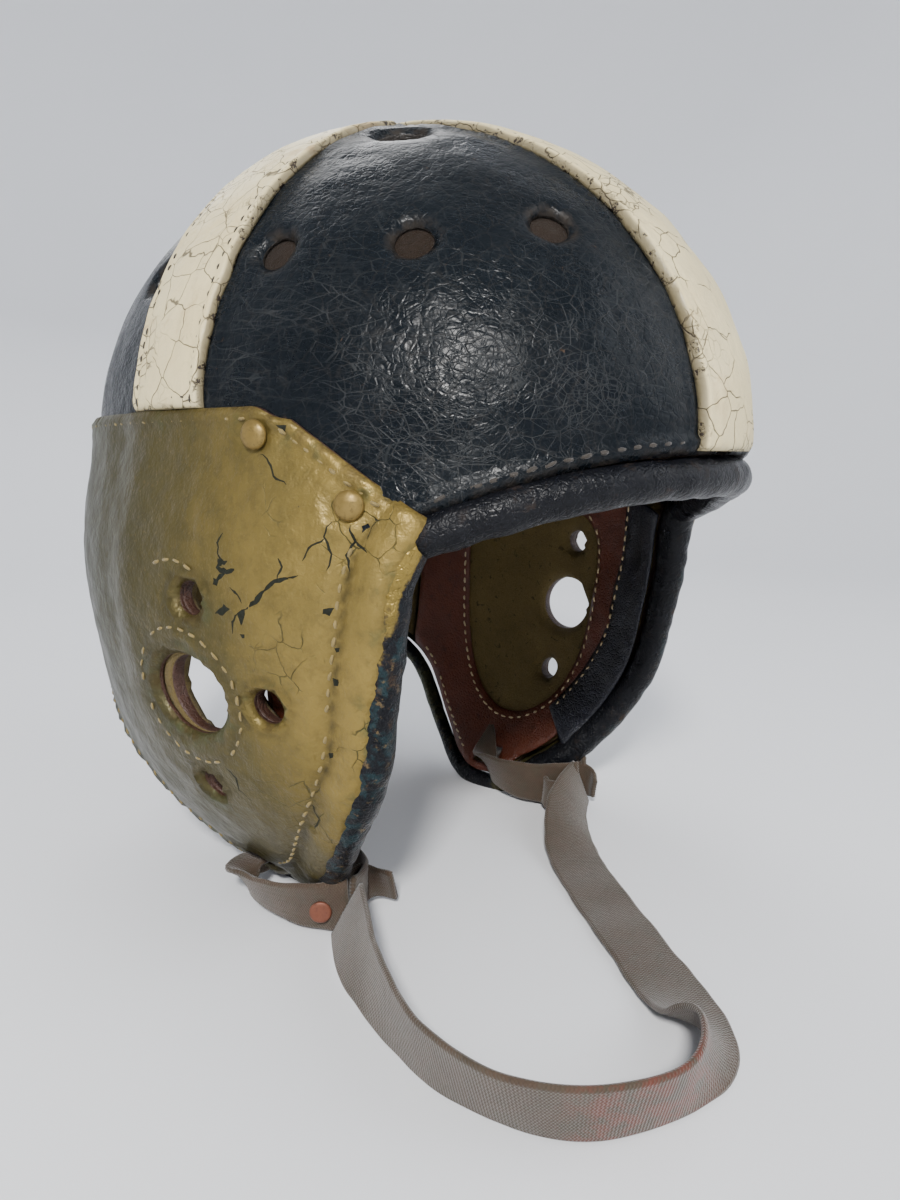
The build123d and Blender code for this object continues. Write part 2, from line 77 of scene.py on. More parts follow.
# ------------------------------ number tools -------------------------------
def spline(knots, values, x, end_slope=None):
    """Natural cubic through the knots, or with a set slope at its last knot."""
    t, v = np.asarray(knots, float), np.asarray(values, float)
    n = len(t)
    step, rise = np.diff(t), np.diff(v, axis=0)
    slope = rise / (step if v.ndim == 1 else step[:, None])
    a = np.zeros((n, n))
    b = np.zeros_like(v)
    a[0, 0] = a[-1, -1] = 1
    for i in range(1, n - 1):
        a[i, i - 1:i + 2] = step[i - 1], 2 * (step[i - 1] + step[i]), step[i]
        b[i] = 3 * (slope[i] - slope[i - 1])
    if end_slope is not None:
        a[-1, -2:] = step[-1], 2 * step[-1]
        b[-1] = 3 * (end_slope - slope[-1])
    c = np.linalg.solve(a, b)
    x = np.asarray(x, float)
    i = np.clip(np.searchsorted(t, x) - 1, 0, n - 2)
    d = x - t[i]
    if v.ndim > 1:
        d, h = d[..., None], step[i][..., None]
    else:
        h = step[i]
    return v[i] + d * (slope[i] - h * (2 * c[i] + c[i + 1]) / 3) + d ** 2 * c[i] + d ** 3 * (c[i + 1]
        - c[i]) / (3 * h)


def smooth_line(points, spacing, closed=False):
    """Points at an even spacing along a smooth curve through the given ones."""
    p = np.asarray(points, float)
    if closed:
        p = np.vstack([p[-2:], p, p[:3]])
    t = np.concatenate([[0], np.cumsum(np.linalg.norm(np.diff(p, axis=0), axis=1))])
    lo, hi = (t[2], t[-3]) if closed else (t[0], t[-1])
    fine = spline(t, p, np.linspace(lo, hi, 600))
    s = np.concatenate([[0], np.cumsum(np.linalg.norm(np.diff(fine, axis=0), axis=1))])
    count = max(3, int(ceil(s[-1] / spacing)))
    at = np.linspace(0, s[-1], count + 1)
    line = np.stack([np.interp(at, s, fine[:, k]) for k in range(p.shape[1])], 1)
    return line[:-1] if closed else line


def straight_line(points, spacing):
    """Points at an even spacing along straight runs."""
    out = []
    for a, b in zip(points, points[1:]):
        a, b = np.asarray(a, float), np.asarray(b, float)
        count = max(1, int(round(np.linalg.norm(b - a) / spacing)))
        out += [a + (b - a) * i / count for i in range(count)]
    out.append(np.asarray(points[-1], float))
    return np.array(out)


def field(points, size, seed, waves=14):
    """A smooth random field of about unit strength, whose bumps are about size across."""
    rng = np.random.default_rng(seed)
    way = rng.normal(size=(waves, 3))
    way /= np.linalg.norm(way, axis=1)[:, None]
    way *= rng.uniform(0.6, 1.6, (waves, 1)) * pi / size
    phase = rng.uniform(0, 2 * pi, waves)
    return np.sin(np.asarray(points) @ way.T + phase).sum(1) / (waves / 2) ** 0.5


def inside(points, polygon):
    """Which 2-D points lie in a polygon."""
    x, y = points[:, 0], points[:, 1]
    hit = np.zeros(len(points), bool)
    for (x0, y0), (x1, y1) in zip(polygon, np.roll(polygon, -1, axis=0)):
        if y0 != y1:
            hit ^= ((y0 > y) != (y1 > y)) & (x < (x1 - x0) * (y - y0) / (y1 - y0) + x0)
    return hit


def distance_to(points, lines):
    """Distance of 2-D points from polylines, each an array of points."""
    best = np.full(len(points), 1e9)
    for line in lines:
        for a, b in zip(line, line[1:]):
            ab = b - a
            t = np.clip(((points - a) @ ab) / max(ab @ ab, 1e-12), 0, 1)
            best = np.minimum(best, np.hypot(*(points - a - t[:, None] * ab).T))
    return best


def bump(distance, width):
    return np.exp(-(distance / width) ** 2)


# ------------------------------ the surface --------------------------------
def half_width(z):
    return spline(SKIRT_Z, SKIRT_X, np.minimum(z, RING_Z), end_slope=0.0)


def level(z, offset=0.0):
    """Half width, and how much of its ring the helmet keeps, at a height."""
    z = np.asarray(z, float)
    h = np.clip((z - RING_Z) / (RISE + offset), 0, 1)
    return half_width(z), (1 - h ** BLUNT) ** (1 / BLUNT)


def skirt(u, z, offset=0.0):
    """Points from an angle round the helmet (0 at the front, + to the left) and a height."""
    side, keep = level(z, offset)
    reach = np.where(np.abs(u) < pi / 2, FRONT, REAR) + offset
    return np.stack([(side + offset) * keep * np.sin(u), -reach * keep * np.cos(u),
                     np.asarray(z, float) + 0 * u], -1)


def angle_at(y, sign=1.0):
    """The skirt's angle where its side view has y."""
    y = np.asarray(y, float)
    return sign * np.arccos(np.clip(-y / np.where(y < 0, FRONT, REAR), -1, 1))


AROUND = 110.0               # chart length of one radian round the skirt


def skirt_chart(side_view, sign=1.0):
    """Side view points (y, z) as chart points (round, z)."""
    p = np.asarray(side_view, float)
    return np.stack([AROUND * angle_at(p[:, 0], sign), p[:, 1]], 1)


def from_skirt(chart, offset=0.0):
    return skirt(chart[:, 0] / AROUND, chart[:, 1], offset)


def crown(chart, offset=0.0):
    """Points of the crown from a chart that unrolls it round its apex."""
    r = np.hypot(chart[:, 0], chart[:, 1])
    u = np.arctan2(chart[:, 0], -chart[:, 1])
    theta = np.clip((ARC - r) / ARC, 0, 1) * pi / 2
    keep = np.clip(np.cos(theta), 0, 1) ** (2 / BLUNT)
    z = RING_Z + (RISE + offset) * np.sin(theta) ** (2 / BLUNT)
    below = r > ARC
    z = np.where(below, RING_Z - (r - ARC), z)
    keep = np.where(below, 1.0, keep)
    side = np.where(below, half_width(z), SIDE)
    reach = np.where(np.abs(u) < pi / 2, FRONT, REAR)
    return np.stack([(side + offset) * keep * np.sin(u), -(reach + offset) * keep * np.cos(u), z], -1)


def crown_chart(points):
    """The crown's chart of 3-D points on or near it."""
    p = np.atleast_2d(np.asarray(points, float))
    reach = np.where(p[:, 1] < 0, FRONT, REAR)
    side = np.where(p[:, 2] < RING_Z, half_width(p[:, 2]), SIDE)
    u = np.arctan2(p[:, 0] / side, -p[:, 1] / reach)
    h = np.clip((p[:, 2] - RING_Z) / RISE, 0, 1)
    theta = np.arcsin(h ** (BLUNT / 2))
    keep = np.hypot(p[:, 0] / side, p[:, 1] / reach)
    theta = np.where(h > 0.5, np.arccos(np.clip(keep, 0, 1) ** (BLUNT / 2)), theta)
    r = np.where(p[:, 2] < RING_Z, ARC + RING_Z - p[:, 2], ARC * (1 - theta / (pi / 2)))
    return np.stack([r * np.sin(u), -r * np.cos(u)], 1)


def slice_at(across, turn, offset, sideways=False):
    """Points where x (or y, for sideways) is fixed: turn 0 is the top, +-90 degrees the ring."""
    across, turn = np.broadcast_arrays(np.asarray(across, float), np.asarray(turn, float))
    over = np.clip(np.abs(turn) - pi / 2, 0, None)
    a = np.clip(np.abs(turn), 0, pi / 2)
    if sideways:
        wide = np.where(across < 0, FRONT, REAR) + offset
        deep = np.full(across.shape, SIDE + offset)
    else:
        wide = np.full(across.shape, SIDE + offset)
        deep = np.where(turn < 0, FRONT, REAR) + offset
    rise = RISE + offset
    lo, hi = np.zeros(across.shape), np.full(across.shape, 1.3)
    for _ in range(36):
        k = (lo + hi) / 2
        full = ((across / wide) ** 2 + (k * np.sin(a)) ** 2) ** (BLUNT / 2) + (k * np.cos(a)) ** BLUNT
        hi = np.where(full > 1, k, hi)
        lo = np.where(full > 1, lo, k)
    run = np.sign(turn) * deep * lo * np.sin(a)
    z = RING_Z + rise * lo * np.cos(a) - over * rise
    pair = (run, across) if sideways else (across, run)
    return np.stack([pair[0], pair[1], z], -1)


def brow_z(x):
    return BROW_Z - BROW_DROP * (np.abs(x) / BROW_CORNER_X) ** 3


# ------------------------------ mesh tools ---------------------------------
def mesh_object(name, points, faces, material, body="shell", slot=None, layers=None, tints=None):
    """A smooth-shaded piece from points in millimetres, riding on a body."""
    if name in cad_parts:
        name = f"{name}_look"
    mesh = bpy.data.meshes.new(name)
    mesh.from_pydata((np.asarray(points, float) * MM).tolist(), [], [list(map(int, f)) for f in faces])
    materials = material if isinstance(material, (list, tuple)) else [material]
    for m in materials:
        mesh.materials.append(m)
    mesh.polygons.foreach_set("use_smooth", [True] * len(mesh.polygons))
    if layers is not None:
        mesh.polygons.foreach_set("material_index", [int(i) for i in layers])
    obj = bpy.data.objects.new(name, mesh)
    set_values(obj, **(tints or {}))
    mesh.validate()
    bpy.context.scene.collection.objects.link(obj)
    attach(obj, body)
    return obj


def set_values(piece, **tints):
    """Values of each point for the materials to read."""
    for key, values in tints.items():
        attribute = piece.data.attributes.new(key, "FLOAT", "POINT")
        attribute.data.foreach_set("value", np.asarray(values, np.float32))


def triangulate(outline, holes, spacing, marks=()):
    """Even triangles inside an outline: points, triangles, and 1 for each triangle inside a mark."""
    loops = [np.asarray(outline, float)] + [np.asarray(h, float) for h in holes]
    marks = [np.asarray(m, float) for m in marks]
    low, high = loops[0].min(0), loops[0].max(0)
    rows = []
    for i, y in enumerate(np.arange(low[1], high[1], spacing * 0.866)):
        xs = np.arange(low[0] + (i % 2) * spacing / 2, high[0], spacing)
        rows.append(np.stack([xs, np.full(len(xs), y)], 1))
    grid = np.vstack(rows)
    grid = grid[inside(grid, loops[0])]
    for hole in loops[1:]:
        grid = grid[~inside(grid, hole)]
    closed = [np.vstack([loop, loop[:1]]) for loop in loops + marks]
    grid = grid[distance_to(grid, closed) > spacing * 0.45]
    points, edges, start = [], [], 0
    for loop in loops + marks:
        points.append(loop)
        edges += [(start + i, start + (i + 1) % len(loop)) for i in range(len(loop))]
        start += len(loop)
    points = np.vstack(points + [grid])
    result = geometry.delaunay_2d_cdt([Vector(p) for p in points], edges, [], 1, 1e-5)
    flat = np.array([tuple(p) for p in result[0]])
    tris = np.array([f for f in result[2] if len(f) == 3])
    centre = flat[tris].mean(1)
    keep = inside(centre, loops[0])
    for hole in loops[1:]:
        keep &= ~inside(centre, hole)
    tris, centre = tris[keep], centre[keep]
    a, b, c = flat[tris[:, 0]], flat[tris[:, 1]], flat[tris[:, 2]]
    area = (b[:, 0] - a[:, 0]) * (c[:, 1] - a[:, 1]) - (b[:, 1] - a[:, 1]) * (c[:, 0] - a[:, 0])
    tris[area < 0] = tris[area < 0][:, ::-1]
    used = np.unique(tris)
    back = np.full(len(flat), -1)
    back[used] = np.arange(len(used))
    flat, tris = flat[used], back[tris]
    which = np.zeros(len(tris), int)
    for mark in marks:
        which[inside(centre, mark)] = 1
    return flat, tris, which


def boundary_edges(tris):
    """Directed edges that only one triangle has."""
    seen = {}
    for tri in tris:
        for a, b in ((tri[0], tri[1]), (tri[1], tri[2]), (tri[2], tri[0])):
            if (b, a) in seen:
                del seen[(b, a)]
            else:
                seen[(a, b)] = 1
    return list(seen)


def sheet_piece(name, outline, holes, spacing, place, outer, inner, materials, marks=(), rim=2,
                round_edge=1.2,
                relief=None, sink=0.0, under=None, stain=None, **more):
    """A sheet with thickness and rounded rims. place(chart, offset) gives points.

    outer and inner are offsets, and relief(chart, points, edge distance) adds to the outer one.
    Triangles in marks sink and take material 1.
    The rims take the last material."""
    flat, tris, which = triangulate(outline, holes, spacing, marks)
    loops = [np.vstack([loop, loop[:1]]) for loop in [np.asarray(outline,
                                                                 float)] + [np.asarray(h) for h in holes]]
    edge = distance_to(flat, loops)
    lift = np.full(len(flat), float(outer))
    if relief is not None:
        lift = lift + relief(flat, place(flat, outer), edge)
    drop = np.clip(1 - edge / round_edge, 0, 1)
    lift -= (1 - np.sqrt(np.clip(1 - drop ** 2, 0, 1))) * min(round_edge, (outer - inner) * 0.45)
    if sink:
        marked = np.zeros(len(flat), bool)
        marked[tris[which == 1].ravel()] = True
        border = np.zeros(len(flat), bool)
        border[tris[which == 0].ravel()] = True
        lift[marked & ~border] -= sink
    top = place(flat, lift)
    below = np.full(len(flat), float(inner))
    if under is not None:
        below = np.minimum(below, lift - under) if outer > inner else np.maximum(below, lift + under)
    bottom = place(flat, below)
    n = len(flat)
    faces = [tuple(t) for t in tris] + [tuple(t[::-1] + n) for t in tris]
    index = list(which) + [0] * len(tris)
    rims = boundary_edges(tris)
    points = [top, bottom]
    ring = sorted({v for e in rims for v in e})
    row = {v: i for i, v in enumerate(ring)}
    ids = np.array(ring)
    count = 2 * n
    steps = [ids]
    for k in range(1, rim + 1):
        t = k / (rim + 1)
        points.append(top[ids] * (1 - t) + bottom[ids] * t)
        steps.append(np.arange(count, count + len(ids)))
        count += len(ids)
    steps.append(ids + n)
    for a, b in rims:
        i, j = row[a], row[b]
        for upper, lower in zip(steps, steps[1:]):
            faces.append((upper[j], upper[i], lower[i], lower[j]))
            index.append(len(materials) - 1)
    wear = np.concatenate([edge, edge] + [np.zeros(len(ids))] * rim)
    tints = {"edge": wear}
    if stain is not None:
        marked = stain(top, edge)
        tints["groove"] = np.concatenate([marked, marked] + [np.zeros(len(ids))] * rim)
    return mesh_object(name, np.vstack(points), faces, materials, layers=index, tints=tints, **more)


def grid_faces(rows, columns, flip=False, closed=False):
    """Quads between rows of points round a tube, with a cap at each end unless the rows close in a ring."""
    faces = []
    for i in range(rows if closed else rows - 1):
        low, high = i * columns, (i + 1) % rows * columns
        for j in range(columns):
            k = (j + 1) % columns
            quad = (low + j, low + k, high + k, high + j)
            faces.append((quad[0], quad[3], quad[2], quad[1]) if flip else quad)
    if not closed:
        first, last = tuple(range(columns)), tuple(range((rows - 1) * columns, rows * columns))
        faces += [first, last[::-1]] if flip else [first[::-1], last]
    return faces


def frames_along(line, up=(0, 0, 1)):
    """Tangent, side and up vectors along a line."""
    line = np.asarray(line, float)
    tangent = np.gradient(line, axis=0)
    tangent /= np.linalg.norm(tangent, axis=1)[:, None]
    up = np.broadcast_to(np.asarray(up, float), line.shape)
    side = np.cross(tangent, up)
    side /= np.linalg.norm(side, axis=1)[:, None]
    return tangent, side, np.cross(side, tangent)


def swept(line, section, side, up):
    """Points and faces of a tube along a line. section has rows of side, up amounts for each station."""
    points = line[:, None] + section[..., :1] * side[:, None] + section[..., 1:2] * up[:, None]
    return points.reshape(-1, 3), grid_faces(len(line), section.shape[1])


def join(meshes):
    """Several (points, faces) as one."""
    points, faces, start = [], [], 0
    for p, f in meshes:
        points.append(np.asarray(p, float))
        faces += [tuple(v + start for v in face) for face in f]
        start += len(p)
    return np.vstack(points), faces


# ------------------------------ materials ----------------------------------
def rgb(r, g, b):
    """A colour from its screen values, 0 to 255."""
    return tuple(((v / 255 + 0.055) / 1.055) ** 2.4 if v > 10 else v / 255 / 12.92 for v in (r, g, b)) + (1.0,
        )


class Look:
    """One procedural material, built from nodes in the piece's own space; sizes are in millimetres."""

    def __init__(self, name, **sockets):
        self.material = bpy.data.materials.new(name)
        self.material.use_nodes = True
        self.tree = self.material.node_tree
        self.shader = self.tree.nodes["Principled BSDF"]
        for key, value in sockets.items():
            self.shader.inputs[key.replace("_", " ")].default_value = value
        self.space = self.add("ShaderNodeTexCoord").outputs["Object"]

    def add(self, kind, inputs=None, **settings):
        node = self.tree.nodes.new(kind)
        for key, value in settings.items():
            setattr(node, key, value)
        for key, value in (inputs or {}).items():
            if isinstance(value, bpy.types.NodeSocket):
                self.tree.links.new(value, node.inputs[key])
            else:
                node.inputs[key].default_value = value
        return node

    def noise(self, size, detail=3.0, rough=0.55, warp=0.0, space=None):
        inputs = {"Vector": space or self.space, "Scale": 1 / (size * MM), "Detail": detail,
                  "Roughness": rough,
                  "Distortion": warp}
        return self.add("ShaderNodeTexNoise", inputs).outputs[0]

    def cells(self, size, edges=True, space=None):
        feature = "DISTANCE_TO_EDGE" if edges else "F1"
        inputs = {"Vector": space or self.space, "Scale": 1 / (size * MM)}
        return self.add("ShaderNodeTexVoronoi", inputs, feature=feature).outputs[0]

    def warped(self, size, amount, space=None):
        """The space pushed about by noise, so that lines drawn in it wander."""
        node = self.add("ShaderNodeTexNoise",
                        {"Vector": space or self.space, "Scale": 1 / (size * MM), "Detail": 3.0})
        shift = self.add("ShaderNodeVectorMath", {0: node.outputs[1], 1: (0.5, 0.5, 0.5)},
                         operation="SUBTRACT")
        inputs = {0: shift.outputs[0], 1: (2 * amount * MM,) * 3, 2: space or self.space}
        return self.add("ShaderNodeVectorMath", inputs, operation="MULTIPLY_ADD").outputs[0]

    def turned(self, rotation, scale, space=None):
        inputs = {"Vector": space or self.space, "Rotation": tuple(radians(a) for a in rotation),
                  "Scale": scale}
        return self.add("ShaderNodeMapping", inputs).outputs[0]

    def math(self, operation, a, b=0.0, c=0.0):
        return self.add("ShaderNodeMath", {0: a, 1: b, 2: c}, operation=operation).outputs[0]

    def level(self, value, low, high, to_low=0.0, to_high=1.0):
        """0 below low and 1 above high, with a soft step between; low may be above high."""
        if low > high:
            low, high, to_low, to_high = high, low, to_high, to_low
        inputs = {0: value, 1: low, 2: high, 3: to_low, 4: to_high}
        return self.add("ShaderNodeMapRange", inputs, interpolation_type="SMOOTHSTEP").outputs[0]

    def mix(self, factor, a, b, how="MIX"):
        node = self.add("ShaderNodeMix", {0: factor, 6: a, 7: b}, data_type="RGBA", blend_type=how)
        return node.outputs[2]

    def ramp(self, value, *stops):
        node = self.add("ShaderNodeValToRGB", {0: value})
        ramp = node.color_ramp
        while len(ramp.elements) < len(stops):
            ramp.elements.new(0.5)
        for element, (at, colour) in zip(ramp.elements, stops):
            element.position = at
            element.color = colour
        return node.outputs[0]

    def attribute(self, name):
        return self.add("ShaderNodeAttribute", attribute_name=name).outputs["Fac"]

    def axis(self, index):
        return self.add("ShaderNodeSeparateXYZ", {0: self.space}).outputs[index]

    def bump(self, height, depth, under=None):
        inputs = {"Height": height, "Distance": depth * MM, "Strength": 1.0}
        if under is not None:
            inputs["Normal"] = under
        return self.add("ShaderNodeBump", inputs).outputs[0]

    def finish(self, colour, roughness=None, normal=None, **more):
        links = {"Base Color": colour, "Roughness": roughness, "Normal": normal}
        links.update({key.replace("_", " "): value for key, value in more.items()})
        for key, socket in links.items():
            if socket is not None:
                self.tree.links.new(socket, self.shader.inputs[key])
        return self.material


def scratches(look, size, turns, width, patch):
    """Fine straight hairlines that cross each other, from the edges of long thin cells."""
    total = None
    for i, turn in enumerate(turns):
        space = look.turned(turn, (1.0, 0.09, 1.0), look.warped(30, 1.2))
        one = look.level(look.cells(size, True, space), width, width * 0.2)
        one = look.math("MULTIPLY", one, look.level(look.noise(patch + 3 * i, 3, 0.6), 0.42, 0.60))
        total = one if total is None else look.math("MAXIMUM", total, one)
    return total


def black_leather():
    look = Look("crown_leather", Specular_IOR_Level=0.11)
    warp = look.warped(9, 2.2)
    base = look.mix(look.noise(38, 4), rgb(7, 11, 15), rgb(16, 21, 26))
    grain = look.cells(2.6, True, warp)
    crazing = look.level(look.cells(5.5, True, warp), 0.045, 0.0)
    worn = look.level(look.noise(46, 3, 0.5), 0.44, 0.62)
    hair = scratches(look, 5.0, ((35, 20, 30), (-30, 15, 60), (60, 40, -20)), 0.022, 24)
    fine = scratches(look, 2.6, ((10, 45, 15), (75, 0, 50), (-50, 30, 20)), 0.032, 15)
    lines = look.math("MULTIPLY", look.math("MAXIMUM", hair, look.math("MULTIPLY", fine, 0.6)),
                      look.math("MULTIPLY_ADD", worn, 0.6, 0.4))
    colour = look.mix(look.math("MULTIPLY", lines, 0.17), base, rgb(96, 97, 96))
    colour = look.mix(look.math("MULTIPLY", crazing, 0.16), colour, rgb(54, 50, 46))
    edge = look.attribute("edge")
    rub = look.math("MULTIPLY", look.level(edge, 3.4, 0.2), look.level(look.noise(6, 4, 0.7), 0.42, 0.62))
    colour = look.mix(look.math("MULTIPLY", rub, 0.7), colour, rgb(46, 40, 34))
    spots = look.level(look.noise(3.4, 3, 0.7, 0.6), 0.70, 0.76)
    colour = look.mix(look.math("MULTIPLY", spots, 0.5), colour, rgb(84, 64, 46))
    rough = look.math("ADD", look.level(look.noise(24, 4, 0.6), 0.3, 0.75, 0.20, 0.40),
                      look.math("MULTIPLY", look.math("MAXIMUM", lines, rub), 0.28))
    normal = look.bump(look.level(grain, 0.0, 0.16), 0.05)
    normal = look.bump(look.math("SUBTRACT", look.noise(1.4, 3), look.math("MULTIPLY", lines, 0.8)), 0.07,
                       normal)
    normal = look.bump(look.level(look.noise(9, 3, 0.6), 0.25, 0.75), 0.30, normal)
    return look.finish(colour, rough, normal)


def ivory_leather():
    look = Look("stripe_leather", Specular_IOR_Level=0.3)
    warp = look.warped(14, 4.0)
    base = look.mix(look.noise(30, 4), rgb(220, 208, 166), rgb(194, 177, 130))
    worn = look.level(look.noise(26, 3, 0.6), 0.50, 0.68)
    net = look.level(look.cells(11, True, warp), 0.017, 0.003)
    fine = look.level(look.cells(4.2, True, look.warped(5, 1.5)), 0.05, 0.01)
    cracks = look.math("MAXIMUM", look.math("MULTIPLY", net, look.level(look.noise(19, 2), 0.40, 0.50)),
                       look.math("MULTIPLY", fine, worn))
    stain = look.level(look.noise(22, 4, 0.65, 0.5), 0.58, 0.74)
    colour = look.mix(look.math("MULTIPLY", stain, 0.55), base, rgb(160, 128, 86))
    colour = look.mix(look.math("MULTIPLY", look.level(look.noise(3, 4, 0.7), 0.56, 0.75), 0.25), colour,
                      rgb(150, 135, 108))
    colour = look.mix(look.math("MULTIPLY", cracks, 0.82), colour, rgb(48, 40, 33))
    edge = look.attribute("edge")
    chips = look.math("MULTIPLY", look.level(edge, 1.9, 0.3), look.level(look.noise(3.5, 4, 0.7), 0.54, 0.62))
    grime = look.level(edge, 0.9, 0.0)
    colour = look.mix(look.math("MAXIMUM", chips, look.math("MULTIPLY", grime, 0.75)), colour,
                      rgb(42, 34, 28))
    rough = look.math("ADD", look.level(look.noise(16, 4), 0.3, 0.7, 0.36, 0.52),
                      look.math("MULTIPLY", cracks, 0.3))
    dents = look.math("MAXIMUM", cracks, chips)
    normal = look.bump(look.math("MULTIPLY", dents, -1.0), 0.28)
    normal = look.bump(look.level(look.noise(7, 3, 0.6), 0.25, 0.75), 0.30, normal)
    normal = look.bump(look.noise(1.0, 3, 0.6), 0.07, normal)
    return look.finish(colour, rough, normal)


def gold_colour_with_painted_light(look):
    """Old gold paint with painted light: brighter towards the front and the top, where the lamp falls, then
    olive, and grey and darker towards the rear, in painted shade.
    """
    # painted light and shade: a smooth run from the lit front and top to the shaded rear
    along = look.level(look.math("ADD", look.axis(1), look.math("MULTIPLY", look.axis(2), -0.22)), -0.105,
                       0.075)
    wander = look.math("MULTIPLY_ADD", look.noise(34, 4, 0.6), 0.36, -0.18)
    colour = look.ramp(look.math("ADD", along, wander), (0.0, rgb(126, 107, 54)), (0.22, rgb(80, 71, 36)),
                       (0.50, rgb(64, 59, 33)), (0.75, rgb(58, 57, 39)), (1.0, rgb(52, 55, 43)))
    mottle = look.level(look.noise(5.5, 4, 0.7), 0.42, 0.72)
    colour = look.mix(look.math("MULTIPLY", mottle, 0.30), colour, rgb(44, 40, 24))
    return look.mix(look.math("MULTIPLY", look.level(look.noise(1.1, 2), 0.55, 0.72), 0.20), colour,
                    rgb(128, 110, 66))


def gold_leather():
    look = Look("flap_leather", Metallic=0.5, Specular_IOR_Level=0.3)
    colour = gold_colour_with_painted_light(look)
    edge = look.attribute("edge")
    net = look.level(look.cells(7.5, True, look.warped(8, 2.4)), 0.030, 0.006)
    where = look.level(look.noise(21, 3, 0.6), 0.53, 0.62)
    front = look.level(look.axis(1), -0.030, -0.062)
    cracks = look.math("MULTIPLY", net, look.math("MULTIPLY", where,
                                                  look.math("MULTIPLY_ADD", front, 0.85, 0.12)))
    colour = look.mix(look.math("MULTIPLY", cracks, 0.8), colour, rgb(44, 48, 30))
    rub = look.math("MULTIPLY", look.level(edge, 4.0, 0.3), look.level(look.noise(5, 4, 0.7), 0.46, 0.62))
    colour = look.mix(look.math("MULTIPLY", rub, 0.65), colour, rgb(66, 54, 30))
    green = look.math("MULTIPLY", look.level(edge, 9.0, 1.0), look.level(look.noise(11, 3, 0.6), 0.52, 0.66))
    colour = look.mix(look.math("MULTIPLY", green, 0.45), colour, rgb(74, 84, 56))
    # the sewn grooves are made darker, broken up by noise
    groove = look.math("MULTIPLY", look.attribute("groove"),
                       look.level(look.noise(4, 3, 0.7), 0.25, 0.6, 0.4, 0.85))
    colour = look.mix(groove, colour, rgb(38, 34, 20))
    flecks = look.level(look.noise(2.3, 3, 0.7, 0.8), 0.735, 0.76)
    colour = look.mix(flecks, colour, rgb(34, 30, 24))
    rough = look.math("ADD", look.level(look.noise(9, 4), 0.3, 0.7, 0.36, 0.50),
                      look.math("MULTIPLY", look.math("MAXIMUM", cracks, rub), 0.25))
    normal = look.bump(look.math("MULTIPLY", look.math("MAXIMUM", cracks, flecks), -1.0), 0.22)
    normal = look.bump(look.noise(0.9, 3, 0.6), 0.09, normal)
    normal = look.bump(look.level(look.noise(7, 4, 0.6), 0.25, 0.75), 0.40, normal)
    return look.finish(colour, rough, normal)


def bare_leather():
    """Where the gold has flaked off."""
    look = Look("flap_bare", Specular_IOR_Level=0.12)
    colour = look.mix(look.noise(2.5, 4, 0.7), rgb(15, 18, 14), rgb(36, 38, 29))
    normal = look.bump(look.noise(0.8, 3, 0.7), 0.15)
    return look.finish(colour, look.level(look.noise(3, 3), 0.3, 0.7, 0.5, 0.7), normal)


def roll_leather():
    """Padded edges: black and creased; where an old coat of gold is, the attribute gold says so."""
    look = Look("roll_leather", Specular_IOR_Level=0.15)
    base = look.mix(look.noise(12, 4), rgb(7, 8, 12), rgb(20, 21, 25))
    scuff = look.level(look.noise(7, 5, 0.72, 0.4), 0.56, 0.68)
    low = look.attribute("wear")
    colour = look.mix(look.math("MULTIPLY", scuff, look.math("MULTIPLY_ADD", low, 0.75, 0.08)), base,
                      rgb(98, 74, 50))
    teal = look.math("MULTIPLY", look.level(look.noise(5, 4, 0.65), 0.50, 0.62), look.attribute("teal"))
    colour = look.mix(look.math("MULTIPLY", teal, 0.6), colour, rgb(30, 52, 56))
    tan = look.math("MULTIPLY", look.level(look.noise(3.2, 4, 0.7), 0.58, 0.66), look.attribute("teal"))
    colour = look.mix(look.math("MULTIPLY", tan, 0.7), colour, rgb(96, 80, 54))
    gold = look.level(look.math("ADD", look.attribute("gold"),
                                look.math("MULTIPLY_ADD", look.noise(8, 4, 0.7), 1.1, -0.55)),
                      0.42, 0.60)
    # the old gold coat takes the flaps' gold, with its painted light and painted shade
    colour = look.mix(gold, colour, gold_colour_with_painted_light(look))
    rough = look.math("ADD", look.level(look.noise(7, 4), 0.3, 0.7, 0.24, 0.42),
                      look.math("MULTIPLY", scuff, 0.22))
    creases = look.noise(4.5, 4, 0.65, 0.6)
    normal = look.bump(look.level(creases, 0.3, 0.7), 0.26)
    normal = look.bump(look.level(look.cells(1.9, True, look.warped(4, 1.0)), 0.0, 0.2), 0.10, normal)
    return look.finish(colour, rough, normal, Metallic=look.math("MULTIPLY", gold, 0.5))


def plain_leather(name, dark, light, size=12.0, gloss=0.5, depth=0.3):
    look = Look(name, Specular_IOR_Level=0.45)
    colour = look.mix(look.noise(size, 5, 0.65), dark, light)
    colour = look.mix(look.math("MULTIPLY", look.level(look.noise(4, 4, 0.7), 0.52, 0.7), 0.4), colour,
                      tuple(v * 0.35 for v in dark[:3]) + (1.0,))
    pores = look.level(look.cells(1.6, True, look.warped(3, 0.6)), 0.0, 0.18)
    normal = look.bump(pores, 0.12)
    normal = look.bump(look.noise(7, 4, 0.65), depth, normal)
    rough = look.level(look.noise(9, 4), 0.3, 0.7, gloss - 0.08, gloss + 0.12)
    return look.finish(colour, rough, normal)


def felt(name, dark, light, spots):
    look = Look(name, Sheen_Weight=0.06, Sheen_Roughness=0.5, Specular_IOR_Level=0.1)
    fuzz = look.noise(0.55, 4, 0.7)
    colour = look.mix(look.noise(17, 5, 0.65), dark, light)
    colour = look.mix(look.level(fuzz, 0.35, 0.7, 0.0, 0.35), colour, spots)
    blot = look.level(look.noise(4.2, 4, 0.7, 0.5), 0.60, 0.68)
    colour = look.mix(look.math("MULTIPLY", blot, 0.65), colour, spots)
    normal = look.bump(fuzz, 0.5)
    normal = look.bump(look.noise(5, 4, 0.6), 0.7, normal)
    return look.finish(colour, look.level(fuzz, 0.3, 0.7, 0.85, 0.97), normal)


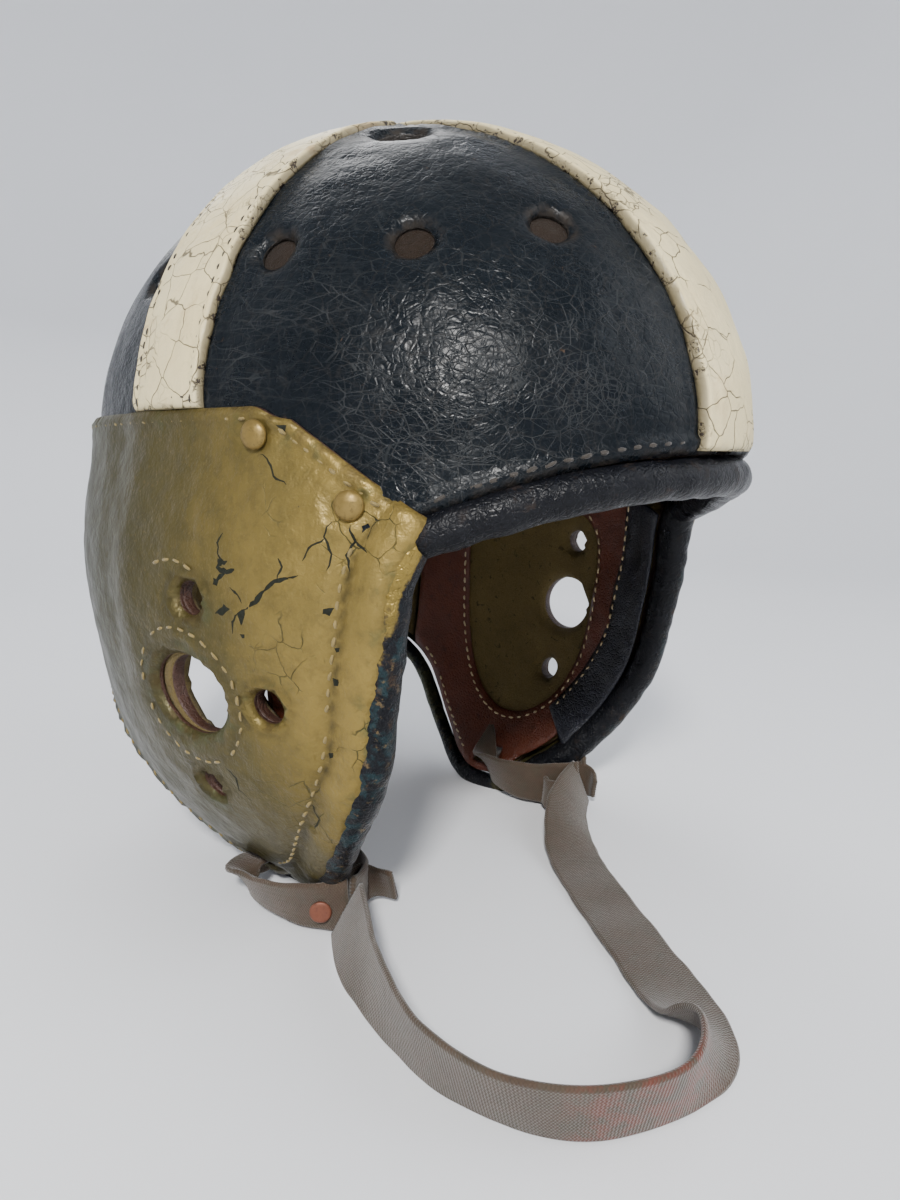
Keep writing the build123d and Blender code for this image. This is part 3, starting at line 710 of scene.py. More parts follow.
def webbing(name, dark, light, stain=None):
    """Woven tape; the attributes along and across give its own directions in millimetres."""
    look = Look(name, Sheen_Weight=0.25, Sheen_Roughness=0.5, Specular_IOR_Level=0.25)
    along, across = look.attribute("along"), look.attribute("across")
    weft = look.math("SINE", look.math("MULTIPLY", along, 2 * pi / 0.9))
    rib = look.math("SINE", look.math("MULTIPLY", across, 2 * pi / 1.25))
    thread = look.math("MULTIPLY_ADD", look.math("MULTIPLY", weft, rib), 0.5, 0.5)
    colour = look.mix(look.noise(13, 5, 0.65), dark, light)
    colour = look.mix(look.math("MULTIPLY", thread, 0.28), colour, tuple(v * 0.42 for v in dark[:3]) + (1.0,))
    colour = look.mix(look.math("MULTIPLY", look.level(look.noise(3, 4, 0.7), 0.55, 0.72), 0.35), colour,
                      tuple(v * 0.5 for v in dark[:3]) + (1.0,))
    if stain:
        red = look.math("MULTIPLY", look.attribute("stain"), look.level(look.noise(5, 4, 0.7), 0.38, 0.6))
        colour = look.mix(look.math("MULTIPLY", red, 0.8), colour, stain)
    normal = look.bump(thread, 0.15)
    normal = look.bump(look.noise(0.4, 3, 0.7), 0.10, normal)
    return look.finish(colour, look.level(look.noise(4, 3), 0.3, 0.7, 0.78, 0.93), normal)


def metal(name, dark, light, gloss=0.4, metallic=0.8):
    look = Look(name, Metallic=metallic)
    colour = look.mix(look.noise(2.4, 4, 0.7), dark, light)
    dirt = look.level(look.noise(1.6, 4, 0.7), 0.52, 0.68)
    colour = look.mix(look.math("MULTIPLY", dirt, 0.5), colour, tuple(v * 0.3 for v in dark[:3]) + (1.0,))
    normal = look.bump(look.noise(1.1, 3, 0.6), 0.08)
    return look.finish(colour, look.level(look.noise(2, 3), 0.3, 0.7, gloss, gloss + 0.2), normal)


def thread(name, dark, light):
    look = Look(name, Sheen_Weight=0.2, Specular_IOR_Level=0.3)
    colour = look.mix(look.noise(6, 4, 0.7), dark, light)
    normal = look.bump(look.noise(0.5, 2), 0.15)
    return look.finish(colour, look.level(look.noise(3, 2), 0.3, 0.7, 0.6, 0.8), normal)


CROWN_LOOK = black_leather()
STRIPE_LOOK = ivory_leather()
GOLD_LOOK = gold_leather()
BARE_LOOK = bare_leather()
ROLL_LOOK = roll_leather()
RIM_LOOK = plain_leather("flap_rim", rgb(42, 26, 20), rgb(72, 46, 35), 5, 0.55)
# painted shade: the vent walls are coloured dark to stand for the shade inside the vents
VENT_RIM_SHADE_LOOK = plain_leather("vent_rim_shaded", rgb(18, 16, 14), rgb(42, 35, 28), 4, 0.6)
LINER_LOOK = plain_leather("liner_leather", rgb(58, 26, 16), rgb(100, 48, 28), 14, 0.42)
BAND_LOOK = plain_leather("band_leather", rgb(82, 50, 28), rgb(128, 86, 50), 20, 0.45)
FLANGE_LOOK = plain_leather("flange_leather", rgb(12, 13, 20), rgb(30, 32, 42), 10, 0.36, 0.5)
FELT_LOOK = felt("felt", rgb(84, 72, 42), rgb(116, 100, 62), rgb(42, 34, 20))
# painted shade: the felt seen through the vents is coloured dark to stand for the shade inside them
LINING_SHADE_LOOK = felt("lining_felt_shaded", rgb(24, 18, 13), rgb(44, 33, 24), rgb(14, 11, 8))
WEB_LOOK = webbing("webbing", rgb(128, 112, 84), rgb(164, 148, 118))
STRAP_LOOK = webbing("strap_webbing", rgb(54, 46, 36), rgb(75, 65, 52), rgb(92, 44, 33))
RIVET_LOOK = metal("rivet", rgb(104, 86, 42), rgb(134, 112, 60), 0.36, 0.6)
STRAP_RIVET_LOOK = metal("strap_rivet", rgb(92, 52, 38), rgb(128, 76, 56), 0.5, 0.35)
GOLD_THREAD = thread("gold_thread", rgb(92, 79, 44), rgb(138, 120, 72))
DARK_THREAD = thread("dark_thread", rgb(30, 27, 25), rgb(60, 54, 47))
PALE_THREAD = thread("pale_thread", rgb(150, 130, 96), rgb(196, 178, 142))


# ------------------------------ sewn details --------------------------------
def lifted(place, chart, offset):
    """Points of a chart line at an offset, with the surface's normals there."""
    chart = np.asarray(chart, float)
    low = place(chart, np.full(len(chart), float(offset)))
    high = place(chart, np.full(len(chart), offset + 1.0))
    normal = high - low
    normal /= np.linalg.norm(normal, axis=1)[:, None]
    return low, normal


def stitch_meshes(points, normals, length=2.6, gap=1.5, radius=0.42, seed=1, skip=0.04):
    """Short rounded threads along a line of points, each pulled a little out of line."""
    rng = np.random.default_rng(seed)
    s = np.concatenate([[0], np.cumsum(np.linalg.norm(np.diff(points, axis=0), axis=1))])
    meshes = []
    at = length
    while at + length < s[-1]:
        centre = np.array([np.interp(at, s, points[:, k]) for k in range(3)])
        ahead = np.array([np.interp(at + length / 2, s, points[:, k]) for k in range(3)]) - centre
        up = np.array([np.interp(at, s, normals[:, k]) for k in range(3)])
        up /= np.linalg.norm(up)
        ahead -= up * (ahead @ up)
        ahead /= np.linalg.norm(ahead)
        side = np.cross(up, ahead)
        swing = rng.normal(0, 0.10)
        ahead, side = ahead * cos(swing) + side * sin(swing), side * cos(swing) - ahead * sin(swing)
        size = length * rng.uniform(0.82, 1.12)
        thick = radius * rng.uniform(0.85, 1.15)
        at += length + gap
        if rng.random() < skip:
            continue
        rows = []
        for t, r, dip in ((-1, 0.25, -0.9), (-0.75, 0.8, -0.35), (0, 1, 0), (0.75, 0.8, -0.35),
                          (1, 0.25, -0.9)):
            for k in range(6):
                a = 2 * pi * k / 6
                rows.append(centre + ahead * t * size / 2 + side * cos(a) * thick * r * 1.25
                            + up * (sin(a) * thick * r + dip * thick))
        meshes.append((np.array(rows), grid_faces(5, 6)))
    return meshes


def stitches(name, lines, material, body="shell", slot=None, **style):
    """One piece of all the threads along several (points, normals) lines."""
    meshes = []
    for i, (points, normals) in enumerate(lines):
        meshes += stitch_meshes(points, normals, seed=17 * i + len(name), **style)
    points, faces = join(meshes)
    return mesh_object(name, points, faces, material, body, slot)


def hole_loop(place, centre, radius, count=28, squash=1.0):
    """A round hole in a chart, round in space."""
    centre = np.asarray(centre, float)
    near = np.array([centre, centre + (0.5, 0), centre + (0, 0.5)])
    p = place(near, np.zeros(3))
    jacobian = np.stack([(p[1] - p[0]) / 0.5, (p[2] - p[0]) / 0.5], 1)
    first = jacobian[:, 0] / np.linalg.norm(jacobian[:, 0])
    second = jacobian[:, 1] - first * (jacobian[:, 1] @ first)
    second /= np.linalg.norm(second)
    turns = 2 * pi * np.arange(count) / count
    ring = np.outer(np.cos(turns), first) + np.outer(np.sin(turns), second) * squash
    return centre + (np.linalg.pinv(jacobian) @ (radius * ring).T).T


def side_loop(y, z, ry, rz, sign, count=32):
    """A hole through a flap, as seen from the side."""
    turns = 2 * pi * np.arange(count) / count
    view = np.stack([y + ry * np.cos(turns), z + rz * np.sin(turns)], 1)
    return skirt_chart(view, sign)


# ------------------------------ crown panels --------------------------------
def hem_z(u, gap):
    """Lower edge of the crown panels at an angle round the helmet."""
    z = np.full(np.shape(u), PANEL_HEM_Z)
    for _ in range(8):
        x = half_width(z) * np.sin(u)
        brow = brow_z(x) + ROLL_RADIUS + gap
        y = -np.where(np.abs(u) < pi / 2, FRONT, REAR) * np.cos(u)
        side = np.interp(y, (-77.0, -39.0), (118.0, PANEL_HEM_Z), left=57.0)
        z = np.maximum(np.where(np.abs(u) < pi / 2, brow, 0.0), side)
    return z


def vent_centres(sx, sy):
    """Centres and radii of the vents of one quarter of the crown."""
    return [(np.array([-x * sx, -y * sy, z]), r) for x, y, z, r in VENTS]


def dents(points, seed, big=0.8, small=0.12):
    """Lasting dents of old leather: big and small ones, and the finest."""
    coarse = big * field(points, 70, seed) * 0.5 + small * field(points, 14, seed + 1)
    return coarse + 0.05 * field(points, 5, seed + 2)


def crown_relief(vents, seed):
    """Dents of old leather, a welt beside each stripe, dished vents and the sewn ridge above the brow."""
    def relief(chart, points, edge):
        lift = dents(points, seed)
        for centre, radius in vents:
            away = np.linalg.norm(points - centre, axis=1) - radius
            lift -= 0.9 * np.exp(-np.clip(away, 0, None) / 2.6)
        x, y = np.abs(points[:, 0]), np.abs(points[:, 1])
        lift += 0.9 * bump(x - STRIP_HALF - 1.9, 1.1) + 0.9 * bump(y - STRIP_HALF - 1.9, 1.1)
        u = np.arctan2(chart[:, 0], -chart[:, 1])
        above = points[:, 2] - hem_z(u, BROW_GAP - 1.0)
        front = (np.abs(u) < 1.15) & (above < 30)
        lift += np.where(front, 1.1 * bump(above - 3.6, 1.3) - 0.5 * bump(above - 6.6, 1.6), 0.0)
        return lift
    return relief


def crown_quarter(name, sx, sy, seed):
    """One crown panel, tucked under the stripes, with its hem behind the flap and above the brow roll."""
    under = 4.0
    limit_x = np.radians(88)
    start = np.arcsin(under / half_width(151.0))
    u = np.linspace(start, limit_x, 110)
    if sy > 0:
        u = pi - u
    u = u * sx
    z = hem_z(np.abs(u), BROW_GAP - 0.9)
    r = ARC + RING_Z - z
    hem = np.stack([r * np.sin(u), -r * np.cos(u)], 1)
    turn = np.radians(np.linspace(3.0, 88.0, 76))
    middle = crown_chart(slice_at(np.full(76, under * sx), turn * sy, 0.0))
    lateral = crown_chart(slice_at(np.full(76, under * sy), turn * sx, 0.0, sideways=True))
    outline = np.vstack([middle, hem, lateral[::-1]])
    vents = vent_centres(sx, sy)
    holes = [hole_loop(crown, crown_chart(c)[0], radius) for c, radius in vents]
    # the panels' rims take the dark vent-wall colour, which is painted shade
    piece = sheet_piece(name, outline, holes, 2.3, crown, 0.0, PANEL_BACK,
                        [CROWN_LOOK, CROWN_LOOK, VENT_RIM_SHADE_LOOK],
                        relief=crown_relief(vents, seed), round_edge=1.5, slot="crown_leather")
    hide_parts(name)


for name, sx, sy, seed in (("crown_panel_front_right", -1, -1, 11), ("crown_panel_front_left", 1, -1, 23),
                           ("crown_panel_rear_right", -1, 1, 37), ("crown_panel_rear_left", 1, 1, 41)):
    crown_quarter(name, sx, sy, seed)


# ------------------------------ stripes -------------------------------------
def stripe(name, ends, sideways, seed):
    """A leather band over the crown, from the turn of one end to that of the other."""
    columns = np.concatenate([[-1.0, -0.985, -0.95], np.linspace(-0.9, 0.9, 19), [0.95, 0.985, 1.0]])
    count = int(abs(ends[1] - ends[0]) * 125 / 1.9)
    turns = np.linspace(*ends, count)
    left, right = (field(np.stack([turns * 115, turns * 0, turns * 0 + k], 1), 9,
                         seed + k) * 0.28 for k in (1, 5))
    rows = []
    wear = []
    for i, turn in enumerate(turns):
        across = columns * (STRIP_HALF + np.where(columns < 0, left[i], right[i]))
        edge = (1 - np.abs(columns)) * STRIP_HALF
        crown_of = 0.35 * (1 - columns ** 2) - 0.75 * bump(edge - 3.0, 0.75)
        at = slice_at(across, np.full(len(across), turn), 3.0, sideways)
        lift = STRIP_TOP + crown_of + dents(at, seed + 9, 0.35, 0.12)
        lift -= (1 - np.sqrt(np.clip(1 - np.clip(1 - edge / 1.3, 0, 1) ** 2, 0, 1))) * 1.9
        end = min(i, count - 1 - i) * 1.9
        lift -= 1.2 * np.exp(-(end / 1.4) ** 2)
        top = slice_at(across, np.full(len(across), turn), lift, sideways)
        bottom = slice_at(across[::-1], np.full(len(across), turn), np.full(len(across), STRIP_BACK),
                          sideways)
        rows.append(np.vstack([top, bottom]))
        wear.append(np.concatenate([np.minimum(edge, end + 0.3), edge * 0]))
    faces = grid_faces(count, len(rows[0]), flip=True)
    if not sideways:
        faces = [f[::-1] for f in faces]
    piece = mesh_object(name, np.vstack(rows), faces, STRIPE_LOOK, slot="stripe_leather",
                        tints={"edge": np.concatenate(wear)})
    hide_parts(name)
    lines = []
    for side in (-1, 1):
        at = np.full(count, side * (STRIP_HALF - 3.0))
        low, high = (slice_at(at, turns, np.full(count, v), sideways) for v in (2.75, 3.75))
        lines.append((low, (high - low) / np.linalg.norm(high - low, axis=1)[:, None]))
    for end in (0, -1):
        turn = turns[end] + (0.028 if turns[end] < turns[-1 - end] else -0.028)
        at = np.linspace(-13.5, 13.5, 20)
        low, high = (slice_at(at, np.full(20, turn), np.full(20, v), sideways) for v in (3.1, 4.1))
        lines.append((low, (high - low) / np.linalg.norm(high - low, axis=1)[:, None]))
    stitches(f"{name}_stitches", lines, DARK_THREAD, slot="stripe_leather", length=2.6, gap=1.7, radius=0.36)


BROW_TURN = -(pi / 2 + (RING_Z - (BROW_Z + ROLL_RADIUS + BROW_GAP)) / (RISE + STRIP_TOP))
EDGE_TURN = np.arccos((FLAP_TOP_Z + 0.4 - RING_Z) / (RISE + STRIP_TOP))
INNER_TURN = np.arcsin(0.176)   # where a side stripe meets the edge of the middle one
stripe("strip_front_rear", (BROW_TURN, EDGE_TURN), False, 5)
stripe("strip_right", (-EDGE_TURN, -INNER_TURN), True, 61)
stripe("strip_left", (INNER_TURN, EDGE_TURN), True, 71)


# ------------------------------ ear flaps and nape --------------------------
def inset(points, distance):
    """A side view line moved square to itself, towards the flap's middle."""
    p = np.asarray(points, float)
    way = np.gradient(p, axis=0)
    way /= np.linalg.norm(way, axis=1)[:, None]
    return p + np.stack([-way[:, 1], way[:, 0]], 1) * distance


FRONT_LINE = smooth_line(((-81.5, 136.5), (-79.6, 131.5)) + FLAP_FRONT, 2.0)
REAR_LINE = smooth_line(FLAP_REAR[:-1], 2.0)
SEAM_Y = REAR * (1 - (66.0 / 102.0) ** 2) ** 0.5


def flap_edges(front_gap, rear_gap, corner, rear_y):
    """Side view line of a flap layer from its front corner round the tip to rear_y, and its height there."""
    front = inset(FRONT_LINE, front_gap)
    front = front[front[:, 1] < corner[1] - 6]
    rear = inset(REAR_LINE, rear_gap)
    rear = rear[(rear[:, 0] > -6) & (rear[:, 0] < rear_y)]
    tip = smooth_line(np.vstack([front[-9:-3], [[-7.5, 8.2]], rear[2:6]]), 2.0)
    tip = tip[(tip[:, 0] > front[-9][0]) & (tip[:, 0] < rear[2][0])]
    lower = np.vstack([[corner], front[:-9], tip, rear[3:]])
    z_end = np.interp(rear_y, rear[:, 0], rear[:, 1])
    return lower, z_end


def beside_front(view):
    """Signed distance of side view points from the front roll's middle line, positive towards the flap."""
    near = np.full(len(view), 1e9)
    signed = np.zeros(len(view))
    for a, b in zip(FRONT_LINE, FRONT_LINE[1:]):
        ab = b - a
        t = np.clip(((view - a) @ ab) / (ab @ ab), 0, 1)
        off = view - a - t[:, None] * ab
        away = np.hypot(*off.T)
        side = ab[0] * off[:, 1] - ab[1] * off[:, 0]
        signed = np.where(away < near, np.where(side > 0, away, -away), signed)
        near = np.minimum(near, away)
    return signed


def gold_outline():
    """Side view outline of the gold leather, ragged where it wraps over the front roll."""
    rear_y = SEAM_Y - SEAM_GAP
    lower, z_end = flap_edges(-3.6, BINDING_RADIUS - 1.6, (-85.0, 134.5), rear_y)
    ragged_edge = lower[:, 1] < 128
    shift = np.stack([field(np.column_stack([lower, lower[:, 0] * 0]), 9, 7), np.zeros(len(lower))], 1)
    lower = lower + shift * 0.45 * (ragged_edge & (lower[:, 0] < -24))[:, None]
    rear = straight_line([(rear_y, z_end), (rear_y, FLAP_TOP_Z)], 2.2)
    top = straight_line([(rear_y, FLAP_TOP_Z), (-33.0, FLAP_TOP_Z)], 2.2)
    bend = smooth_line([(-33.0, FLAP_TOP_Z), (-38.5, FLAP_TOP_Z - 0.4), (-43.0, FLAP_TOP_Z - 2.6),
                        (-48.0, 160.4)], 1.5)
    slant = straight_line([(-48.0, 160.4), (-62.0, 150.4), (-74.0, 142.0), (-85.0, 134.5)], 2.0)
    return np.vstack([lower, rear[1:], top[1:], bend[1:], slant[1:-1]])


LOSSES = (
    ((-31.9, 123.2), (-30.2, 123.6), (-30.4, 121.9), (-31.6, 121.6)),
    ((-30.9, 118.0), (-29.0, 118.2), (-28.8, 116.4), (-30.3, 116.1)),
    ((-41.1, 111.7), (-39.9, 110.2), (-39.6, 109.1), (-39.0, 107.4), (-38.1, 105.9), (-37.6, 107.6),
     (-37.1, 109.2),
     (-38.9, 110.6), (-42.3, 111.8)),
    ((-29.4, 108.7), (-31.0, 110.0), (-32.5, 111.0), (-34.7, 110.3), (-33.4, 109.2), (-32.2, 107.9)),
    ((-38.9, 103.6), (-37.6, 103.4), (-37.9, 102.4), (-38.8, 102.5)),
    ((-63.6, 112.4), (-61.4, 112.0), (-61.0, 110.8), (-62.6, 110.2)),
    ((-63.6, 92.8), (-61.8, 92.9), (-61.9, 90.8), (-63.2, 91.2)),
    ((-59.4, 71.4), (-57.6, 71.0), (-57.9, 69.4), (-59.2, 69.9)),
    ((-64.2, 101.8), (-62.8, 101.4), (-63.1, 100.2), (-64.1, 100.4)),
    ((-47.5, 158.8), (-44.6, 159.0), (-46.0, 156.2)))
WIDE_CRACKS = (
    ((-30.2, 125.0), (-31.7, 122.8), (-30.4, 121.2), (-32.6, 119.7), (-30.6, 118.3), (-29.2, 116.6)),
    ((-36.2, 120.9), (-33.8, 120.1), (-31.4, 120.7)), ((-33.9, 122.9), (-31.6, 122.4)),
    ((-45.6, 116.2), (-43.6, 113.6), (-41.2, 111.4)), ((-52.0, 119.6), (-48.6, 118.6), (-45.6, 116.2)))
CRACKS = (
    ((-54.9, 120.5), (-52.2, 119.7)),
    ((-37.1, 109.2), (-35.2, 106.4), (-34.9, 103.2)), ((-34.6, 116.1), (-37.4, 114.2), (-38.6, 111.9)),
    ((-30.4, 124.3), (-30.0, 127.6), (-31.2, 130.4)), ((-49.0, 118.6), (-50.2, 122.4), (-49.4, 125.0)),
    ((-39.5, 151.9), (-42.6, 149.4), (-44.4, 145.8), (-48.8, 143.6)),
    ((-62.0, 134.3), (-60.8, 130.2), (-63.0, 126.4), (-61.9, 122.2)),
    ((-66.8, 133.6), (-67.9, 129.4), (-66.2, 125.8), (-67.4, 121.6)),
    ((-60.8, 130.2), (-57.0, 127.6), (-55.6, 124.2)), ((-67.9, 129.4), (-71.2, 127.0)),
    ((-22.0, 61.0), (-25.2, 57.4), (-24.6, 53.0), (-28.0, 50.2)),
    ((-46.0, 44.0), (-49.4, 47.6), (-48.6, 52.8)))


def crack_outline(line, seed, width=0.34):
    """A thin sliver along a line, for a crack in the paint."""
    rng = np.random.default_rng(seed)
    fine = straight_line(line, 1.3)
    fine = fine + rng.normal(0, 0.16, fine.shape)
    way = np.gradient(fine, axis=0)
    way /= np.linalg.norm(way, axis=1)[:, None]
    taper = np.sin(np.linspace(0.12, pi - 0.12, len(fine))) ** 0.6 * rng.uniform(0.6, 1.2, len(fine)) * width
    side = np.stack([-way[:, 1], way[:, 0]], 1) * taper[:, None]
    return np.vstack([fine + side, (fine - side)[::-1]])


def ragged(outline, seed):
    """A patch's outline, with the small steps of a torn edge."""
    rng = np.random.default_rng(seed)
    p = straight_line(list(outline) + [outline[0]], 1.0)[:-1]
    return p + rng.normal(0, 0.13, p.shape)


RING_CENTRE, RING_SIZE = np.array([-12.5, 81.5]), 21.0


def flap_relief(seed):
    """Dents, sewn grooves, the front roll under the leather, and what presses round the holes and rivets."""
    def relief(chart, points, edge):
        view = points[:, 1:]
        y, z = view[:, 0], view[:, 1]
        lift = dents(points, seed, 0.9, 0.16) * np.clip(edge / 6, 0.15, 1)
        beside = beside_front(view)
        near_roll = beside < 12
        lift += np.where(near_roll, 0.0, 0.5 * bump(edge - 1.6, 1.1) - 0.55 * bump(edge - 3.4, 0.8))
        roll = ROLL_OFFSET - 2.5 + np.sqrt(np.clip((ROLL_RADIUS + 1.1) ** 2 - beside ** 2, 0.0, None))
        sewn = -1.9 * bump(beside - 7.6, 1.8) - 2.6 * np.clip((6.0 - beside) / 2.0, 0, 1)
        sewn = sewn - 0.5 * bump(beside - 9.6, 0.8)
        lift = np.where(near_roll, np.maximum(roll + 0.2 * lift, lift * 0.5 + sewn), lift)
        lift -= 0.9 * np.clip(1 - edge / 2.2, 0, 1) ** 2 * near_roll
        away = np.hypot(*(view - RING_CENTRE).T)
        lift += (0.45 * np.clip(1 - (away - RING_SIZE) / 1.2, 0, 1) * (away < 40)
                 - 0.55 * bump(away - RING_SIZE, 0.9))
        hole = np.hypot((y - EAR_HOLE[0]) / EAR_HOLE[2], (z - EAR_HOLE[1]) / EAR_HOLE[3])
        lift -= 1.0 * np.exp(-np.clip(hole - 1, 0, None) * 13 / 2.2)
        for hy, hz, r in SOUND_HOLES:
            gap = np.hypot(y - hy, z - hz) - r
            lift += 0.55 * np.exp(-((gap - 1.8) / 1.3) ** 2) - 0.9 * np.exp(-np.clip(gap, 0, None) / 0.8)
        for ry, rz in FLAP_RIVETS:
            away = np.hypot(y - ry, z - rz)
            lift += 0.75 * bump(away - 6.8, 1.2) - 0.8 * bump(away - 4.6, 1.1)
        lift += 1.1 * bump(y - 9.0 - 5.0 * np.sin((z - 75) / 30), 10.0) * np.clip((z - 60) / 30, 0, 1)
        lift -= 0.9 * bump(y - 27.0, 9.0) * np.clip((z - 60) / 30, 0, 1)
        pucker = np.sin((y * 0.5 + z * 0.9) * 1.15 + 2 * field(points, 15, seed + 3))
        lift += 0.18 * pucker * np.exp(-((edge - 3.0) / 4.0) ** 2)
        return lift
    return relief


def flap_groove_darkening(points, edge):
    """Marks the sewn grooves of a flap, where the gold is made darker."""
    view = points[:, 1:]
    ring = np.hypot(*(view - RING_CENTRE).T) - RING_SIZE
    beside = beside_front(view)
    marked = np.maximum(0.9 * bump(beside - 7.6, 1.2), 0.5 * bump(ring, 0.9))
    return np.maximum(marked, 0.5 * bump(edge - 3.4, 0.8) * (beside > 12))


def flap_holes(sign):
    """The ear hole, the sound holes and the strap slot."""
    holes = [side_loop(EAR_HOLE[0], EAR_HOLE[1], EAR_HOLE[2], EAR_HOLE[3], sign, 56)]
    holes += [side_loop(y, z, r, r, sign, 26) for y, z, r in SOUND_HOLES]
    y, z, long, high = SLOT
    corners = [(y - long / 2, z - high / 2), (y + long / 2, z - high / 2), (y + long / 2, z + high / 2),
               (y - long / 2, z + high / 2), (y - long / 2, z - high / 2)]
    holes.append(skirt_chart(straight_line(corners, 1.6)[:-1], sign))
    return holes


def ear_flap(side, sign, seed):
    """The gold leather of one flap with its paint losses and cracks, and the threads sewn through it."""
    outline = skirt_chart(gold_outline(), sign)
    relief = flap_relief(seed)
    marks = []
    if sign < 0:
        marks += [skirt_chart(ragged(p, i), sign) for i, p in enumerate(LOSSES)]
        marks += [skirt_chart(crack_outline(c, i + 80, 0.75), sign) for i, c in enumerate(WIDE_CRACKS)]
    marks += [skirt_chart(crack_outline(c, i + 50), sign) for i,
              c in enumerate(CRACKS[::1 if sign < 0 else 2])]
    name = f"ear_flap_{side}"
    piece = sheet_piece(name, outline, flap_holes(sign), 2.1, from_skirt, FLAP_OUTER, FLAP_INNER,
                        [GOLD_LOOK, BARE_LOOK, RIM_LOOK], marks=marks, relief=relief, sink=0.3,
                        round_edge=1.3, under=1.3, stain=flap_groove_darkening, slot="flap_leather")
    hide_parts(name)

    def on_flap(view):
        chart = skirt_chart(view, sign)
        low, normal = lifted(from_skirt, chart, FLAP_OUTER)
        closed = [np.vstack([outline, outline[:1]])]
        lift = relief(chart, low, distance_to(chart, closed))
        return from_skirt(chart, FLAP_OUTER + lift + 0.12), normal

    edge_line = inset(FRONT_LINE, ROLL_RADIUS + 3.6)
    edge_line = edge_line[(edge_line[:, 1] > 15) & (edge_line[:, 1] < 130)]
    rear_line = inset(REAR_LINE, BINDING_RADIUS + 2.8)
    rear_line = rear_line[(rear_line[:, 0] > 12) & (rear_line[:, 0] < SEAM_Y - 4)]
    turns = np.linspace(0, 2 * pi, 80)
    ring = RING_CENTRE + RING_SIZE * np.stack([np.cos(turns), np.sin(turns)], 1)
    arc = smooth_line([(-2.7, 120.0), (-10.0, 121.9), (-16.2, 121.6), (-24.0, 117.4)], 2.0)
    top = straight_line([(SEAM_Y - 5, 160.9), (-38.5, 160.9)], 3.0)
    slant = straight_line([(-43.5, 158.8), (-61.5, 146.2), (-76.0, 136.0)], 3.0)
    gold_lines = [on_flap(v) for v in (top, slant, edge_line, ring, arc, rear_line)]
    stitches(f"ear_flap_stitches_{side}", gold_lines, GOLD_THREAD, slot="flap_leather", length=2.9, gap=1.9,
             radius=0.42)


ear_flap("right", -1, 101)
ear_flap("left", 1, 131)


def nape_relief(_, points, edge):
    lift = dents(points, 151, 0.9, 0.16)
    return lift + 0.5 * bump(edge - 1.6, 1.1) - 0.55 * bump(edge - 3.4, 0.8)


def neck_guard():
    """The gold leather across the nape."""
    start = float(angle_at(SEAM_Y + SEAM_GAP))
    low = BINDING_RADIUS - 0.4
    rear = inset(REAR_LINE, low)
    u = np.linspace(start, 2 * pi - start, 96)
    y = -REAR * np.cos(u)
    bottom = np.stack([AROUND * u, np.interp(y, rear[:, 0], rear[:, 1])], 1)
    left = straight_line([(AROUND * (2 * pi - start), bottom[-1, 1]),
                          (AROUND * (2 * pi - start), FLAP_TOP_Z)], 2.2)
    top = np.stack([AROUND * u[::-1], np.full(96, FLAP_TOP_Z)], 1)
    right = straight_line([(AROUND * start, FLAP_TOP_Z), (AROUND * start, bottom[0, 1])], 2.2)
    outline = np.vstack([bottom, left[1:], top[1:], right[1:-1]])
    piece = sheet_piece("neck_guard", outline, [], 2.2, from_skirt, FLAP_OUTER, FLAP_INNER,
                        [GOLD_LOOK, BARE_LOOK, RIM_LOOK],
                        relief=nape_relief, round_edge=1.3, slot="flap_leather")
    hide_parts("neck_guard")
    lines = []
    for line in (bottom[2:-2] + (0, 3.2), top[2:-2] - (0, 3.1), left[2:-2] - (3.2, 0),
                 right[2:-2] + (3.2, 0)):
        low_points, normal = lifted(from_skirt, line, 2.4)
        lines.append((low_points, normal))
    stitches("neck_guard_stitches", lines, GOLD_THREAD, slot="flap_leather", length=2.9, gap=1.9, radius=0.42)


neck_guard()


# ------------------------------ rolled edges --------------------------------
ROLL_AROUND, BINDING_AROUND = 28, 18   # points round a roll and round a binding


def tube_piece(name, line, radius, up, seed, ends=(1.0, 1.0), crease=0.30, around=ROLL_AROUND):
    """A padded roll with creases across it. up gives the way of angle 0 for every point of the line."""
    _, side, lift = frames_along(line, up)
    turns = 2 * pi * np.arange(around) / around
    s = np.concatenate([[0], np.cumsum(np.linalg.norm(np.diff(line, axis=0), axis=1))])
    size = np.interp(s / s[-1], [0, 0.06, 0.94, 1], [ends[0], 1, 1, ends[1]])
    shape = np.zeros((len(line), around, 2))
    for i in range(len(line)):
        ring = np.stack([np.cos(turns), np.sin(turns)], 1)
        at = np.column_stack([ring * 4, np.full(around, s[i])])
        fine = crease * field(at * (0.5, 0.5, 1.0), 4.6, seed) * 0.45
        wrinkle = fine + 0.35 * field(at * (0.4, 0.4, 1.0), 28, seed + 1) * 0.5
        r = radius * size[i] + wrinkle * min(1.0, size[i])
        shape[i, :, 0] = r * np.cos(turns)
        shape[i, :, 1] = r * np.sin(turns)
    points, faces = swept(line, shape, side, lift)
    piece = mesh_object(name, points, faces, ROLL_LOOK, slot="roll_leather")
    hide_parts(name)
    return piece


def brow_line():
    """The brow roll's middle line."""
    x = np.linspace(-78.0, 78.0, 96)
    z = brow_z(x)
    side = half_width(z) + ROLL_OFFSET
    y = -(FRONT + ROLL_OFFSET) * np.sqrt(1 - (x / side) ** 2)
    return np.stack([x, y, z], 1)


